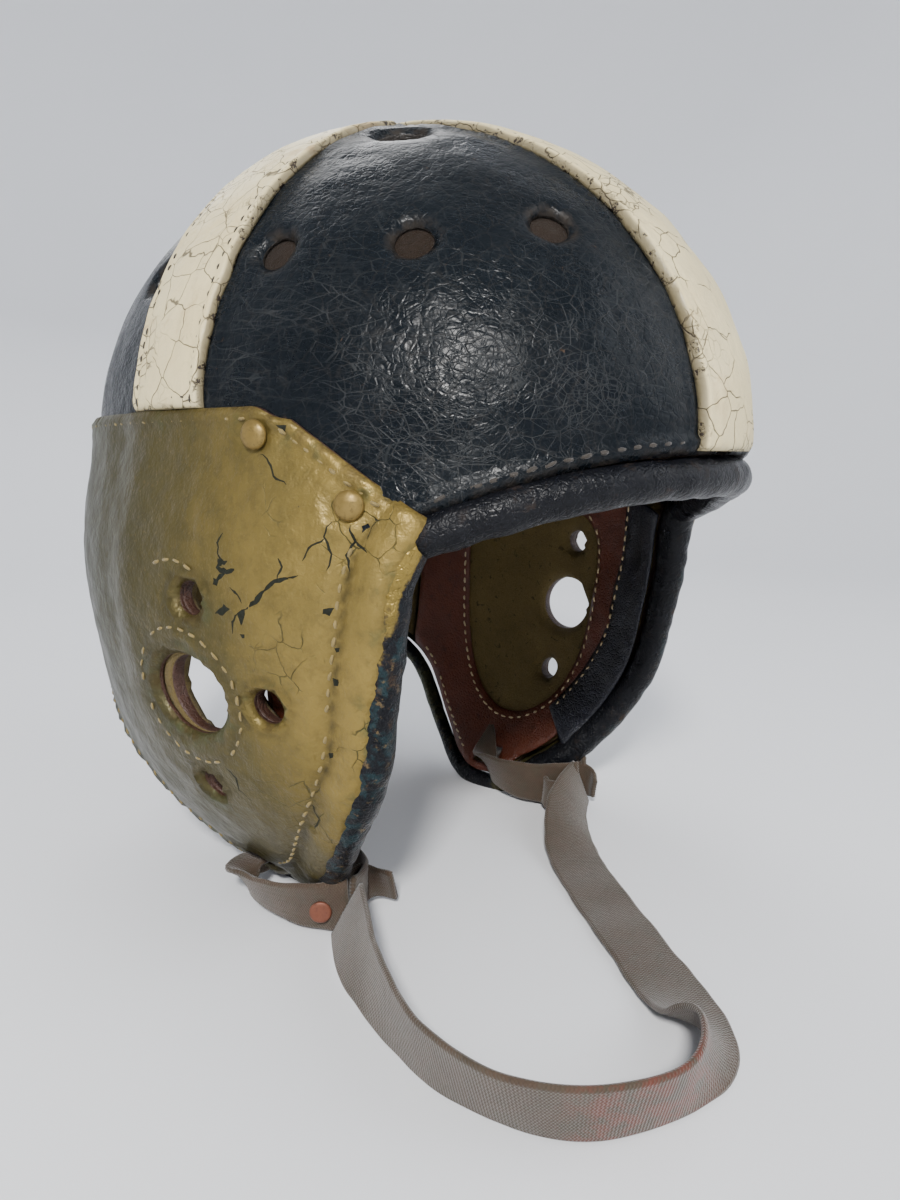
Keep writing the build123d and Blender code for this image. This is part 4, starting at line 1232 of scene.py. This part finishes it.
def brow_roll():
    line = brow_line()
    turns = 2 * pi * np.arange(ROLL_AROUND) / ROLL_AROUND
    low = np.clip(-np.sin(turns) * 1.3 + 0.1, 0.0, 1.0)
    front = np.clip(1.2 - np.abs(line[:, 0]) / 45, 0.0, 1.0)
    piece = tube_piece("brow_roll", line, ROLL_RADIUS, (0, 0, 1), 201, ends=(0.9, 0.9))
    zero = np.zeros(len(line) * ROLL_AROUND)
    set_values(piece, teal=zero, gold=zero, wear=np.outer(front, low).ravel())
    ridge_x = np.linspace(-80, 80, 100)
    u = np.arcsin(np.clip(ridge_x / half_width(brow_z(ridge_x)), -1, 1))
    z = hem_z(u, BROW_GAP - 1.0) + 3.6
    chart = np.stack([(ARC + RING_Z - z) * np.sin(u), -(ARC + RING_Z - z) * np.cos(u)], 1)
    lines = []
    for part in (ridge_x < -STRIP_HALF - 1, ridge_x > STRIP_HALF + 1):
        low_points, normal = lifted(crown, chart[part], 1.25)
        lines.append((low_points, normal))
    stitches("brow_stitches", lines, DARK_THREAD, slot="crown_leather", length=3.4, gap=1.5, radius=0.5)


brow_roll()


def flap_roll(side, sign, seed):
    line = FRONT_LINE[(FRONT_LINE[:, 1] > 7.0) & (FRONT_LINE[:, 1] < 134.0)]
    x = (half_width(line[:, 1]) + ROLL_OFFSET) * np.sqrt(np.clip(1 - (line[:,
        0] / (FRONT + ROLL_OFFSET)) ** 2, 0, 1))
    path = np.column_stack([sign * x, line])
    up = np.array([sign, 0.0, 0.0])
    turns = 2 * pi * np.arange(ROLL_AROUND) / ROLL_AROUND
    gold_height = np.clip((path[:, 2] - 96) / 34, 0, 1)
    outward = np.clip(np.sin(turns) * 1.1 + 0.35, 0, 1)
    gold = np.outer(0.25 + 0.75 * gold_height, outward).ravel()
    teal = np.outer(np.clip((118 - path[:, 2]) / 18, 0.15, 1), np.clip(np.sin(turns) + 0.7, 0, 1)).ravel()
    piece = tube_piece(f"flap_roll_{side}", path, ROLL_RADIUS, up, seed, ends=(0.92, 0.62), crease=0.34)
    set_values(piece, gold=gold, teal=teal, wear=teal * 0.5)


flap_roll("right", -1, 221)
flap_roll("left", 1, 231)


def neck_binding(side, sign, seed):
    line = REAR_LINE[REAR_LINE[:, 0] > -11.5]
    line = line[line[:, 0] < 118]
    x = (half_width(line[:, 1]) + ROLL_OFFSET) * np.sqrt(np.clip(1 - (line[:, 0] / (REAR + ROLL_OFFSET)) ** 2,
                                                                 0, 1))
    path = np.column_stack([x, line])
    last_angle = atan2(path[-1, 0] / (half_width(71.0) + ROLL_OFFSET), path[-1, 1] / (REAR + ROLL_OFFSET))
    turns = np.linspace(last_angle, 0.0, 30)[1:]
    z = np.interp(turns, [0.0, last_angle], [71.0, path[-1, 2]])
    reach = half_width(z) + ROLL_OFFSET
    tail = np.stack([reach * np.sin(turns), (REAR + ROLL_OFFSET) * np.cos(turns), z], 1)
    tail[-1, 0] = 0.2
    path = np.vstack([path, tail]) * (sign, 1, 1)
    piece = tube_piece(f"neck_binding_{side}", path, BINDING_RADIUS, (0.01, 0.02, 1.0), seed, crease=0.16,
                       around=BINDING_AROUND)
    along = np.repeat(np.clip(0.45 + 0.3 * field(path, 30, seed), 0, 1), BINDING_AROUND)
    set_values(piece, gold=along * 0.8, teal=along * 0.4, wear=along)


neck_binding("right", -1, 241)
neck_binding("left", 1, 251)


# ------------------------------ rivets --------------------------------------
def lathe(profile, centre, axis, around=24):
    """A turned shape: profile rows of (radius, height) from its outer rim to its pole, closed below."""
    axis = np.asarray(axis, float) / np.linalg.norm(axis)
    first = np.cross(axis, (0.3, 0.2, 1.0))
    first /= np.linalg.norm(first)
    second = np.cross(axis, first)
    points = []
    for r, h in profile:
        for k in range(around):
            a = 2 * pi * k / around
            points.append(centre + axis * h + (first * cos(a) + second * sin(a)) * r)
    return np.array(points), grid_faces(len(profile), around)


DOME = [(3.0, -3.0), (3.0, 0.0), (3.95, 0.1), (4.1, 0.45), (3.9, 0.9), (3.3, 1.45), (2.4, 1.9), (1.3, 2.15),
        (0.3, 2.22)]
WASHER = [(3.6, 0.35), (3.8, 0.1), (3.6, -0.35), (1.6, -0.5), (0.3, -0.55)]


def flap_rivets(side, sign):
    meshes = []
    for y, z in FLAP_RIVETS:
        low, normal = lifted(from_skirt, skirt_chart([(y, z)], sign), 2.35)
        meshes.append(lathe(DOME, low[0], normal[0]))
        back, _ = lifted(from_skirt, skirt_chart([(y, z)], sign), -5.9)
        meshes.append(lathe(WASHER, back[0], normal[0]))
    points, faces = join(meshes)
    piece = mesh_object(f"flap_rivets_{side}_heads", points, faces, RIVET_LOOK, slot="rivet")
    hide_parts(f"flap_rivets_{side}")


flap_rivets("right", -1)
flap_rivets("left", 1)


# ------------------------------ inside the flaps -----------------------------
def pad_outline(gap, corner, top_z, rear_y):
    """Side view outline of a layer inside a flap."""
    lower, z_end = flap_edges(ROLL_RADIUS + gap, BINDING_RADIUS + gap, corner, rear_y)
    rear = straight_line([(rear_y, z_end), (rear_y, top_z)], 3.0)
    slant = [(rear_y, top_z), (-40.0, top_z), (-56.0, min(top_z, 138.0)), corner]
    return np.vstack([lower, rear[1:], straight_line(slant, 3.0)[1:-1]])


def quilted(seed, depth):
    """Swelling of a soft layer away from its edges, with soft lumps."""
    def relief(_, points, edge):
        lumps = 0.5 * field(points, 24, seed) * 0.5
        return -depth * (1 - np.exp(-edge / 7.0)) - lumps - 0.15 * field(points, 6, seed + 1)
    return relief


def inner_sheet(name, node, outline, holes, outer, inner, looks, relief, slot, spacing=3.0):
    """A sheet seen from its inner side."""
    piece = sheet_piece(name, outline, holes, spacing, from_skirt, inner, outer, looks, relief=relief,
                        round_edge=1.2,
                        slot=slot)
    if node:
        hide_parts(node)
    return piece


WINDOW_LINE = smooth_line(WINDOW + ((2.0, 130.0),), 2.0, closed=True)


def flap_inside(side, sign, seed):
    """The felt pad, the leather ring over it, the inner flange of the front roll and their stitches."""
    holes = [side_loop(EAR_HOLE[0] - 2.0, EAR_HOLE[1], 13.0, 12.0, sign, 48)] + flap_holes(sign)[1:]
    outline = skirt_chart(pad_outline(1.6, (-69.5, 131.0), PAD_TOP_Z, 69.7), sign)
    inner_sheet(f"ear_pad_{side}", f"ear_pad_{side}", outline, holes, PAD_BACK, PAD_FACE,
                [FELT_LOOK, FELT_LOOK, RIM_LOOK],
                quilted(seed, 0.9), "felt", spacing=2.6)
    outline = skirt_chart(pad_outline(1.6, (-67.5, 129.0), 140.0, 68.5), sign)
    window = skirt_chart(WINDOW_LINE, sign)
    slot = [holes[-1]]
    inner_sheet(f"ear_liner_{side}", f"ear_liner_{side}", outline, [window] + slot, LINER_BACK, LINER_FACE,
                [LINER_LOOK],
                quilted(seed + 3, 0.25), "liner_leather", spacing=2.6)
    outer_edge, inner_edge = inset(FRONT_LINE, 0.6), inset(FRONT_LINE, 20.5)
    keep = (FRONT_LINE[:, 1] > 22) & (FRONT_LINE[:, 1] < 128)
    band = np.vstack([inner_edge[keep], outer_edge[keep][::-1]])
    inner_sheet(f"roll_flange_{side}", None, skirt_chart(band, sign), [], FLANGE_BACK, FLANGE_FACE,
                [FLANGE_LOOK],
                quilted(seed + 5, 0.3), "roll_leather", spacing=2.4)
    lines = []
    for view, offset in ((inset(FRONT_LINE, 18.3)[keep], -11.8),
                         (np.vstack([WINDOW_LINE, WINDOW_LINE[:1]]), -10.6)):
        around = view
        if offset > -11:
            centre = view.mean(0)
            around = centre + (view - centre) * (1 + 2.4 / np.linalg.norm(view - centre, axis=1))[:, None]
        low, normal = lifted(from_skirt, skirt_chart(around, sign), offset)
        lines.append((low, -normal))
    rear = inset(REAR_LINE, BINDING_RADIUS + 4.2)
    rear = rear[(rear[:, 0] > 16) & (rear[:, 0] < 66)]
    low, normal = lifted(from_skirt, skirt_chart(rear, sign), -10.6)
    lines.append((low, -normal))
    stitches(f"ear_liner_stitches_{side}", lines, PALE_THREAD, slot="liner_leather", length=2.6, gap=1.8,
             radius=0.4)


flap_inside("right", -1, 301)
flap_inside("left", 1, 331)


def neck_pad():
    """The felt behind the neck guard."""
    start = float(angle_at(70.4))
    rear = inset(REAR_LINE, BINDING_RADIUS + 1.6)
    u = np.linspace(start, 2 * pi - start, 90)
    bottom = np.stack([AROUND * u, np.interp(-REAR * np.cos(u), rear[:, 0], rear[:, 1])], 1)
    end = AROUND * (2 * pi - start)
    left = straight_line([(end, bottom[-1, 1]), (end, PAD_TOP_Z)], 3.0)
    top = np.stack([AROUND * u[::-1], np.full(90, PAD_TOP_Z)], 1)
    right = straight_line([(AROUND * start, PAD_TOP_Z), (AROUND * start, bottom[0, 1])], 3.0)
    outline = np.vstack([bottom, left[1:], top[1:], right[1:-1]])
    inner_sheet("neck_pad", "neck_pad", outline, [], PAD_BACK, PAD_FACE, [FELT_LOOK], quilted(351, 0.9),
                "felt")


neck_pad()


# ------------------------------ inside the crown -----------------------------
def crown_lining():
    """The felt under the crown panels, coloured dark as painted shade where it shows through the vents."""
    u = np.linspace(0, 2 * pi, 241)[:-1]
    z = hem_z(np.where(u > pi, 2 * pi - u, u), 3.2) + 1.0
    outline = np.stack([(ARC + RING_Z - z) * np.sin(u), -(ARC + RING_Z - z) * np.cos(u)], 1)
    piece = sheet_piece("crown_lining", outline, [], 4.2, crown, -5.6, -3.35, [LINING_SHADE_LOOK],
                        relief=quilted(361, 0.1),
                        slot="felt")
    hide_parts("crown_lining")


crown_lining()


def ring_band(name, low_z, high_z, inner, outer, material, seed, slot):
    """A closed band round the inside of the crown."""
    u = np.linspace(0, 2 * pi, 181)[:-1]
    rows = []
    levels = np.linspace(low_z, high_z, 15)
    profile = [(z, inner - 0.55 * np.sin(pi * (z - low_z) / (high_z - low_z))) for z in levels]
    profile += [(z, outer) for z in levels[::-1]]
    for z, offset in profile:
        at = skirt(u, np.full(len(u), z), offset)
        inwards = -at * (1, 1, 0) / np.linalg.norm(at[:, :2], axis=1)[:, None]
        wave = 0.35 * field(at, 22, seed) * 0.6 if offset < outer else 0.0
        rows.append(at + inwards * np.reshape(wave, (-1, 1)) if offset < outer else at)
    faces = grid_faces(len(rows), len(u), closed=True)
    piece = mesh_object(name, np.vstack(rows), faces, material, slot=slot)
    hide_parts(name)
    lines = []
    for z in (low_z + 2.6, high_z - 2.6):
        at = skirt(np.linspace(0, 2 * pi, 240), np.full(240, z), inner - 0.5)
        normal = -at * (1, 1, 0) / np.linalg.norm(at[:, :2], axis=1)[:, None]
        lines.append((at, normal))
    stitches(f"{name}_stitches", lines, PALE_THREAD, slot=slot, length=3.0, gap=2.2, radius=0.4)


ring_band("sweatband", 153.4, 186.6, -9.0, -7.5, BAND_LOOK, 371, "liner_leather")


def ribbon(rows, thickness, ribs, spacing=1.6, wear=0.15, seed=1, columns=25):
    """A woven tape from rows of (x, y, z, across x, y, z, width).

    Returns its points and faces, how far each point is along and across, and its length."""
    rows = np.asarray(rows, float)
    line = smooth_line(rows, spacing)
    centre, across, width = line[:, :3], line[:, 3:6], line[:, 6]
    ahead = np.gradient(centre, axis=0)
    ahead /= np.linalg.norm(ahead, axis=1)[:, None]
    across -= ahead * (across * ahead).sum(1)[:, None]
    across /= np.linalg.norm(across, axis=1)[:, None]
    out = np.cross(ahead, across)
    s = np.concatenate([[0], np.cumsum(np.linalg.norm(np.diff(centre, axis=0), axis=1))])
    side = np.linspace(-1, 1, columns)
    points, along, over = [], [], []
    for i in range(len(centre)):
        half = width[i] / 2 + wear * field(np.array([[s[i], 0, 0.0]]), 7, seed)[0]
        rib = 0.13 * np.cos(side * pi * ribs) * np.clip((1 - np.abs(side)) * 9, 0, 1)
        edge = thickness / 2 * np.sqrt(np.clip(1 - np.clip((np.abs(side) - 0.93) / 0.07, 0, 1) ** 2, 0.02, 1))
        sag = 0.16 * field(np.column_stack([side * 8, np.full(columns, s[i]), side * 0]), 16, seed + 2)
        top = centre[i] + np.outer(side * half, across[i]) + np.outer(edge + rib + sag, out[i])
        low = centre[i] + np.outer(side * half, across[i]) + np.outer(-edge - rib + sag, out[i])
        points.append(np.vstack([top, low[::-1]]))
        along.append(np.full(2 * columns, s[i]))
        over.append(np.concatenate([side * half, side[::-1] * half]))
    faces = grid_faces(len(centre), 2 * columns, flip=True)
    points = np.vstack(points)
    # nothing may sink into the table, so low points are eased up to just above it
    points[:, 2] = np.where(points[:, 2] < 1.2, 0.35 + 0.85 * np.exp((points[:, 2] - 1.2) / 0.85),
                            points[:, 2])
    return points, faces, np.concatenate(along), np.concatenate(over), s[-1]


def tape_piece(name, rows, material, thickness=1.7, ribs=16, body="shell", slot=None, stain=None, **more):
    """A piece of woven tape and its length."""
    points, faces, along, over, length = ribbon(rows, thickness, ribs, **more)
    tints = {"along": along, "across": over}
    if stain is not None:
        tints["stain"] = np.interp(along, *stain)
    return mesh_object(name, points, faces, material, body, slot, tints=tints), length


WEB_RISE, WEB_SHRINK, WEB_FOOT_Z = 80.0, 7.0, 190.0


def web_point(run, sideways, drop):
    """A point of a web, run from -1 to 1 from foot to foot."""
    foot = np.arcsin(((WEB_FOOT_Z - RING_Z) / (WEB_RISE - drop)) ** (BLUNT / 2))
    theta = pi / 2 - abs(run) * (pi / 2 - foot)
    keep = np.cos(theta) ** (2 / BLUNT)
    z = RING_Z + (WEB_RISE - drop) * np.sin(theta) ** (2 / BLUNT)
    reach = (SIDE if sideways else (FRONT if run < 0 else REAR)) - WEB_SHRINK - drop
    way = np.sign(run) * reach * keep
    return (way, 0.0, z) if sideways else (0.0, way, z)


def crown_webs():
    """The two webs that cross under the crown."""
    for name, sideways, drop in (("web_front_rear", False, 0.7), ("web_left_right", True, 2.4)):
        rows = [web_point(r, sideways, drop) + ((0, 1, 0) if sideways else (1, 0, 0)) + (25.0,)
                for r in np.sin(np.linspace(-pi / 2, pi / 2, 23))]
        piece, length = tape_piece(name, rows, WEB_LOOK, 1.2, 18, slot="webbing", spacing=2.6, seed=381)
        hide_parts(name)


crown_webs()


CROWN_PAD_RADIUS = 33.5


def crown_pad():
    """Round felt pad under the crossing of the webs."""
    r = np.linspace(0.4, CROWN_PAD_RADIUS, 20)
    u = 2 * pi * np.arange(72) / 72
    rows = []
    for face, rise in ((1, 76.6), (-1, 73.6)):
        for radius in (r if face > 0 else r[::-1]):
            x, y = radius * np.sin(u), -radius * np.cos(u)
            out = np.hypot(x / (SIDE - 11), y / (FRONT - 11))
            h = (1 - out ** BLUNT) ** (1 / BLUNT)
            edge = np.clip((CROWN_PAD_RADIUS - radius) / 2.5, 0, 1)
            z = RING_Z + rise * h + (1 - np.sqrt(1 - (1 - edge) ** 2)) * (-1.2 if face > 0 else 1.2)
            sag = (0.5 if face < 0 else 0) * (1 - np.exp(-(CROWN_PAD_RADIUS - radius) / 6))
            rows.append(np.stack([x, y, z - sag], 1))
    piece = mesh_object("crown_pad", np.vstack(rows), grid_faces(len(rows), len(u)), FELT_LOOK, slot="felt")
    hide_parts("crown_pad")


crown_pad()


# ------------------------------ chin strap -----------------------------------
STRAP_WIDTH = 20.0
# middle of the strap, and how far its width leans from upright in degrees
STRAP_ROUTE = ((-72.5, -43.5, 10.3, -30), (-80.0, -53.0, 10.4, -30), (-89.0, -67.0, 10.3, -20),
               (-97.0, -84.0, 10.2, -4),
               (-103.5, -103.0, 10.2, 10), (-104.5, -122.0, 10.2, 20), (-99.0, -138.5, 10.2, 20),
               (-87.0, -151.0, 10.3, 18), (-71.5, -157.5, 10.6, 10), (-57.5, -156.0, 10.2, -24),
               (-46.5, -148.5, 6.4, -66), (-35.5, -137.0, 2.4, -88), (-24.5, -123.5, 1.6, -90),
               (-10.0, -105.0, 1.3, -90), (4.0, -87.0, 1.3, -90), (18.5, -70.0, 2.6, -84),
               (36.0, -56.0, 7.0, -60), (52.0, -48.5, 10.0, -35), (64.0, -45.0, 10.8, -20))


def leaning(route, width):
    """Rows for a ribbon whose width leans from upright by an angle, outwards from the loop that it makes."""
    p = np.array([r[:3] for r in route])
    ahead = np.gradient(p, axis=0)
    rows = []
    for point, way, (_, _, _, lean) in zip(p, ahead, route):
        outward = np.array([way[1], -way[0], 0.0])
        outward /= np.linalg.norm(outward)
        across = outward * sin(radians(lean)) + np.array([0, 0, cos(radians(lean))])
        rows.append(tuple(point) + tuple(across) + (width,))
    return rows


def loop_end(side, sign, tab):
    """The strap's end: bunched through the slit, along both faces of the tip and back on itself."""
    outer = [(58, 4, 12.0, 0, 1, 0, 11), (70, 4, 12.0, 0, 1, 0, 11), (78.5, 2.5, 11.0, 0.2, 0.9, 0.3, 11),
             (81.0, -5, 9.0, 0.3, 0.3, 0.9, 12), (80.6, -16, 8.4, 0.2, 0, 1, 13),
             (78.5, -27, 8.6, 0.1, 0, 1, 15),
             (74.5, -36, 9.4, 0.1, 0, 1, 17), (71.0, -42.5, 10.3, -0.35, -0.28, 0.87, 19.4)]
    inner = [(66, 4, 12.0, 0, 1, 0, 11), (56, 4, 12.0, 0, 1, 0, 11), (49.0, 2.0, 11.0, -0.2, 0.9, 0.3, 11),
             (46.4, -6, 9.0, -0.3, 0.3, 0.9, 12), (47.5, -18, 8.4, -0.2, 0, 1, 13),
             (52.0, -29, 8.6, -0.1, 0, 1, 15),
             (60.0, -37.5, 9.4, 0, 0, 1, 17), (69.0, -42.0, 10.2, 0, 0, 1, 18.5)]
    tail = [(70.0, -40.0, 9.6, 0, 0, 1, 15), (64.0, -35.5, 9.2, 0.1, 0, 1, 14),
            (57.0, -33.0, 8.6, 0.3, 0.1, 1, 13),
            (51.0, -35.5, 8.0, 0.4, 0.2, 1, 12.5), (49.0, -41.0, 7.8, 0.4, 0.2, 1, 11)]
    if sign > 0:
        outer[-1] = (71.0, -42.5, 10.3, 0.08, 0, 1, 19.4)
        inner = tab
        tab = [(66.0, -33, 9.0, 0.2, 0, 1, 13), (70.0, -40, 9.0, 0.2, 0.2, 1, 15),
               (70.5, -46, 8.4, 0.3, 0.3, 1, 13),
               (67.0, -50, 7.6, 0.5, 0.3, 1, 9)]
    meshes, along, over = [], [], []
    for i, rows in enumerate((outer, inner, tail, tab)):
        rows = [(sign * r[0], r[1], r[2], sign * r[3], r[4], r[5], r[6]) for r in rows]
        points, faces, a, o, _ = ribbon(rows, 1.9, 9, 1.5, wear=0.45, seed=401 + i, columns=17)
        meshes.append((points, faces if sign > 0 else [f[::-1] for f in faces]))
        along.append(a)
        over.append(o)
    points, faces = join(meshes)
    tints = {"along": np.concatenate(along), "across": np.concatenate(over),
             "stain": np.full(len(points), 0.12)}
    piece = mesh_object(f"strap_loop_{side}", points, faces, STRAP_LOOK, "strap", "strap_webbing",
                        tints=tints)
    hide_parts(f"strap_loop_{side}")
    return piece


TAB_RIGHT = [(58, 4, 12.0, 0, 1, 0, 10), (63.0, 5, 11.5, 0, 1, 0, 10), (66.0, 7.5, 8.5, 0.2, 0.9, 0, 10),
             (68.5, 9.5, 6.0, 0.5, 0.8, 0, 8)]
TAB_LEFT = [(65.8, 5.5, 25.5, 0, 1, 0.1, 2.5), (63.5, 5, 20.5, 0, 1, 0.1, 8.5),
            (59.5, 4, 16.0, 0, 1, 0.3, 11.5),
            (54.0, 0, 13.0, 0, 0.8, 0.6, 12.5), (49.8, -8, 11.4, -0.1, 0.4, 0.9, 14),
            (48.6, -18, 10.6, -0.1, 0.1, 1, 16),
            (51.0, -29, 10.2, 0, 0, 1, 17.5), (56.5, -38, 10.2, 0, 0, 1, 19),
            (63.5, -44.2, 10.6, 0, 0, 1, 19.6)]
LOOP_RIGHT = loop_end("right", -1, TAB_RIGHT)
LOOP_LEFT = loop_end("left", 1, TAB_LEFT)


def chin_strap():
    """The webbing between the loops, with its red-brown stain."""
    rows = leaning(STRAP_ROUTE, STRAP_WIDTH)
    stain = ([0, 104, 114, 140, 152, 600], [0.10, 0.12, 1.0, 1.0, 0.12, 0.05])
    piece, length = tape_piece("chin_strap", rows, STRAP_LOOK, 1.7, 16, "strap", "strap_webbing", stain,
                               seed=421,
                               spacing=1.5, columns=33)
    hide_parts("chin_strap")
    print("strap length", round(length, 1))


chin_strap()


def strap_rivet(side, sign):
    """The flat rivet head that holds a loop's layers together."""
    run = np.array([-10.5, -12.0]) / hypot(10.5, 12.0)
    out = np.array([-run[1], run[0]])
    centre = np.array([75.6 + out[0] * 1.3, -34.6 + out[1] * 1.3, 8.4])
    axis = np.array([sign * out[0], out[1], 0.0])
    centre[0] *= sign
    profile = [(3.4, -0.6), (3.6, 0.1), (3.5, 0.5), (3.0, 0.75), (2.2, 0.7), (1.2, 0.62), (0.3, 0.62)]
    points, faces = lathe(profile, centre, axis)
    piece = mesh_object(f"strap_rivet_{side}_head", points, faces, STRAP_RIVET_LOOK, "strap", "strap_rivet")
    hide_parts(f"strap_rivet_{side}")


strap_rivet("right", -1)
strap_rivet("left", 1)


# ------------------------------ floor, light and camera ----------------------
def backdrop():
    """A pale sweep: a flat floor that curves up all round."""
    look = Look("backdrop", Specular_IOR_Level=0.25)
    colour = look.mix(look.noise(400, 3), rgb(226, 228, 232), rgb(232, 233, 236))
    material = look.finish(colour, look.level(look.noise(300, 2), 0.3, 0.7, 0.62, 0.72))
    radii = [0.0, 300.0, 900.0] + [900.0 + 700 * sin(a) for a in np.radians(np.arange(10, 91, 10))] + [1600.0]
    heights = [0.0, 0.0, 0.0] + [700 * (1 - cos(a)) for a in np.radians(np.arange(10, 91, 10))] + [2600.0]
    n = 72
    points = [(r * cos(2 * pi * k / n), r * sin(2 * pi * k / n), h - 0.05) for r,
              h in zip(radii[1:], heights[1:])
              for k in range(n)]
    faces = grid_faces(len(radii) - 1, n, flip=True)[:-1]
    mesh = bpy.data.meshes.new("backdrop")
    mesh.from_pydata((np.array(points) * MM).tolist(), [], faces)
    mesh.materials.append(material)
    mesh.polygons.foreach_set("use_smooth", [True] * len(mesh.polygons))
    obj = bpy.data.objects.new("backdrop", mesh)
    bpy.context.scene.collection.objects.link(obj)


backdrop()


def area_light(name, place, target, size, watts, colour=(1.0, 1.0, 1.0)):
    light = bpy.data.lights.new(name, "AREA")
    light.shape = "DISK"
    light.size = size
    light.energy = watts
    light.color = colour
    obj = bpy.data.objects.new(name, light)
    obj.location = place
    obj.rotation_euler = (Vector(target) - Vector(place)).to_track_quat("-Z", "Y").to_euler()
    bpy.context.scene.collection.objects.link(obj)


area_light("key", (-0.80, -0.60, 0.80), (-0.02, -0.04, 0.14), 0.18, 21.0, (1.0, 0.98, 0.95))
area_light("fill", (0.55, -1.0, 0.8), (0.0, 0.0, 0.12), 1.1, 6.0, (0.94, 0.97, 1.0))
area_light("rim", (0.5, 0.9, 1.0), (0.0, 0.0, 0.15), 0.9, 7.0)

WORLD_COLOUR, WORLD_STRENGTH = (0.80, 0.83, 0.88, 1.0), 0.66
CAMERA_PLACE = (-0.2356, -0.2238, 0.1511)      # metres
CAMERA_TURN = (90 - 9.86, 0.0, -49.76)         # degrees
CAMERA_LENS, CAMERA_SENSOR = 24.96, 36.0       # millimetres

world = bpy.data.worlds.new("studio")
world.use_nodes = True
world.node_tree.nodes["Background"].inputs[0].default_value = WORLD_COLOUR
world.node_tree.nodes["Background"].inputs[1].default_value = WORLD_STRENGTH
bpy.context.scene.world = world

camera = bpy.data.cameras.new("camera")
camera.lens = CAMERA_LENS
camera.sensor_width = CAMERA_SENSOR
camera_object = bpy.data.objects.new("camera", camera)
camera_object.location = CAMERA_PLACE
camera_object.rotation_euler = [radians(a) for a in CAMERA_TURN]
bpy.context.scene.collection.objects.link(camera_object)
bpy.context.scene.camera = camera_object
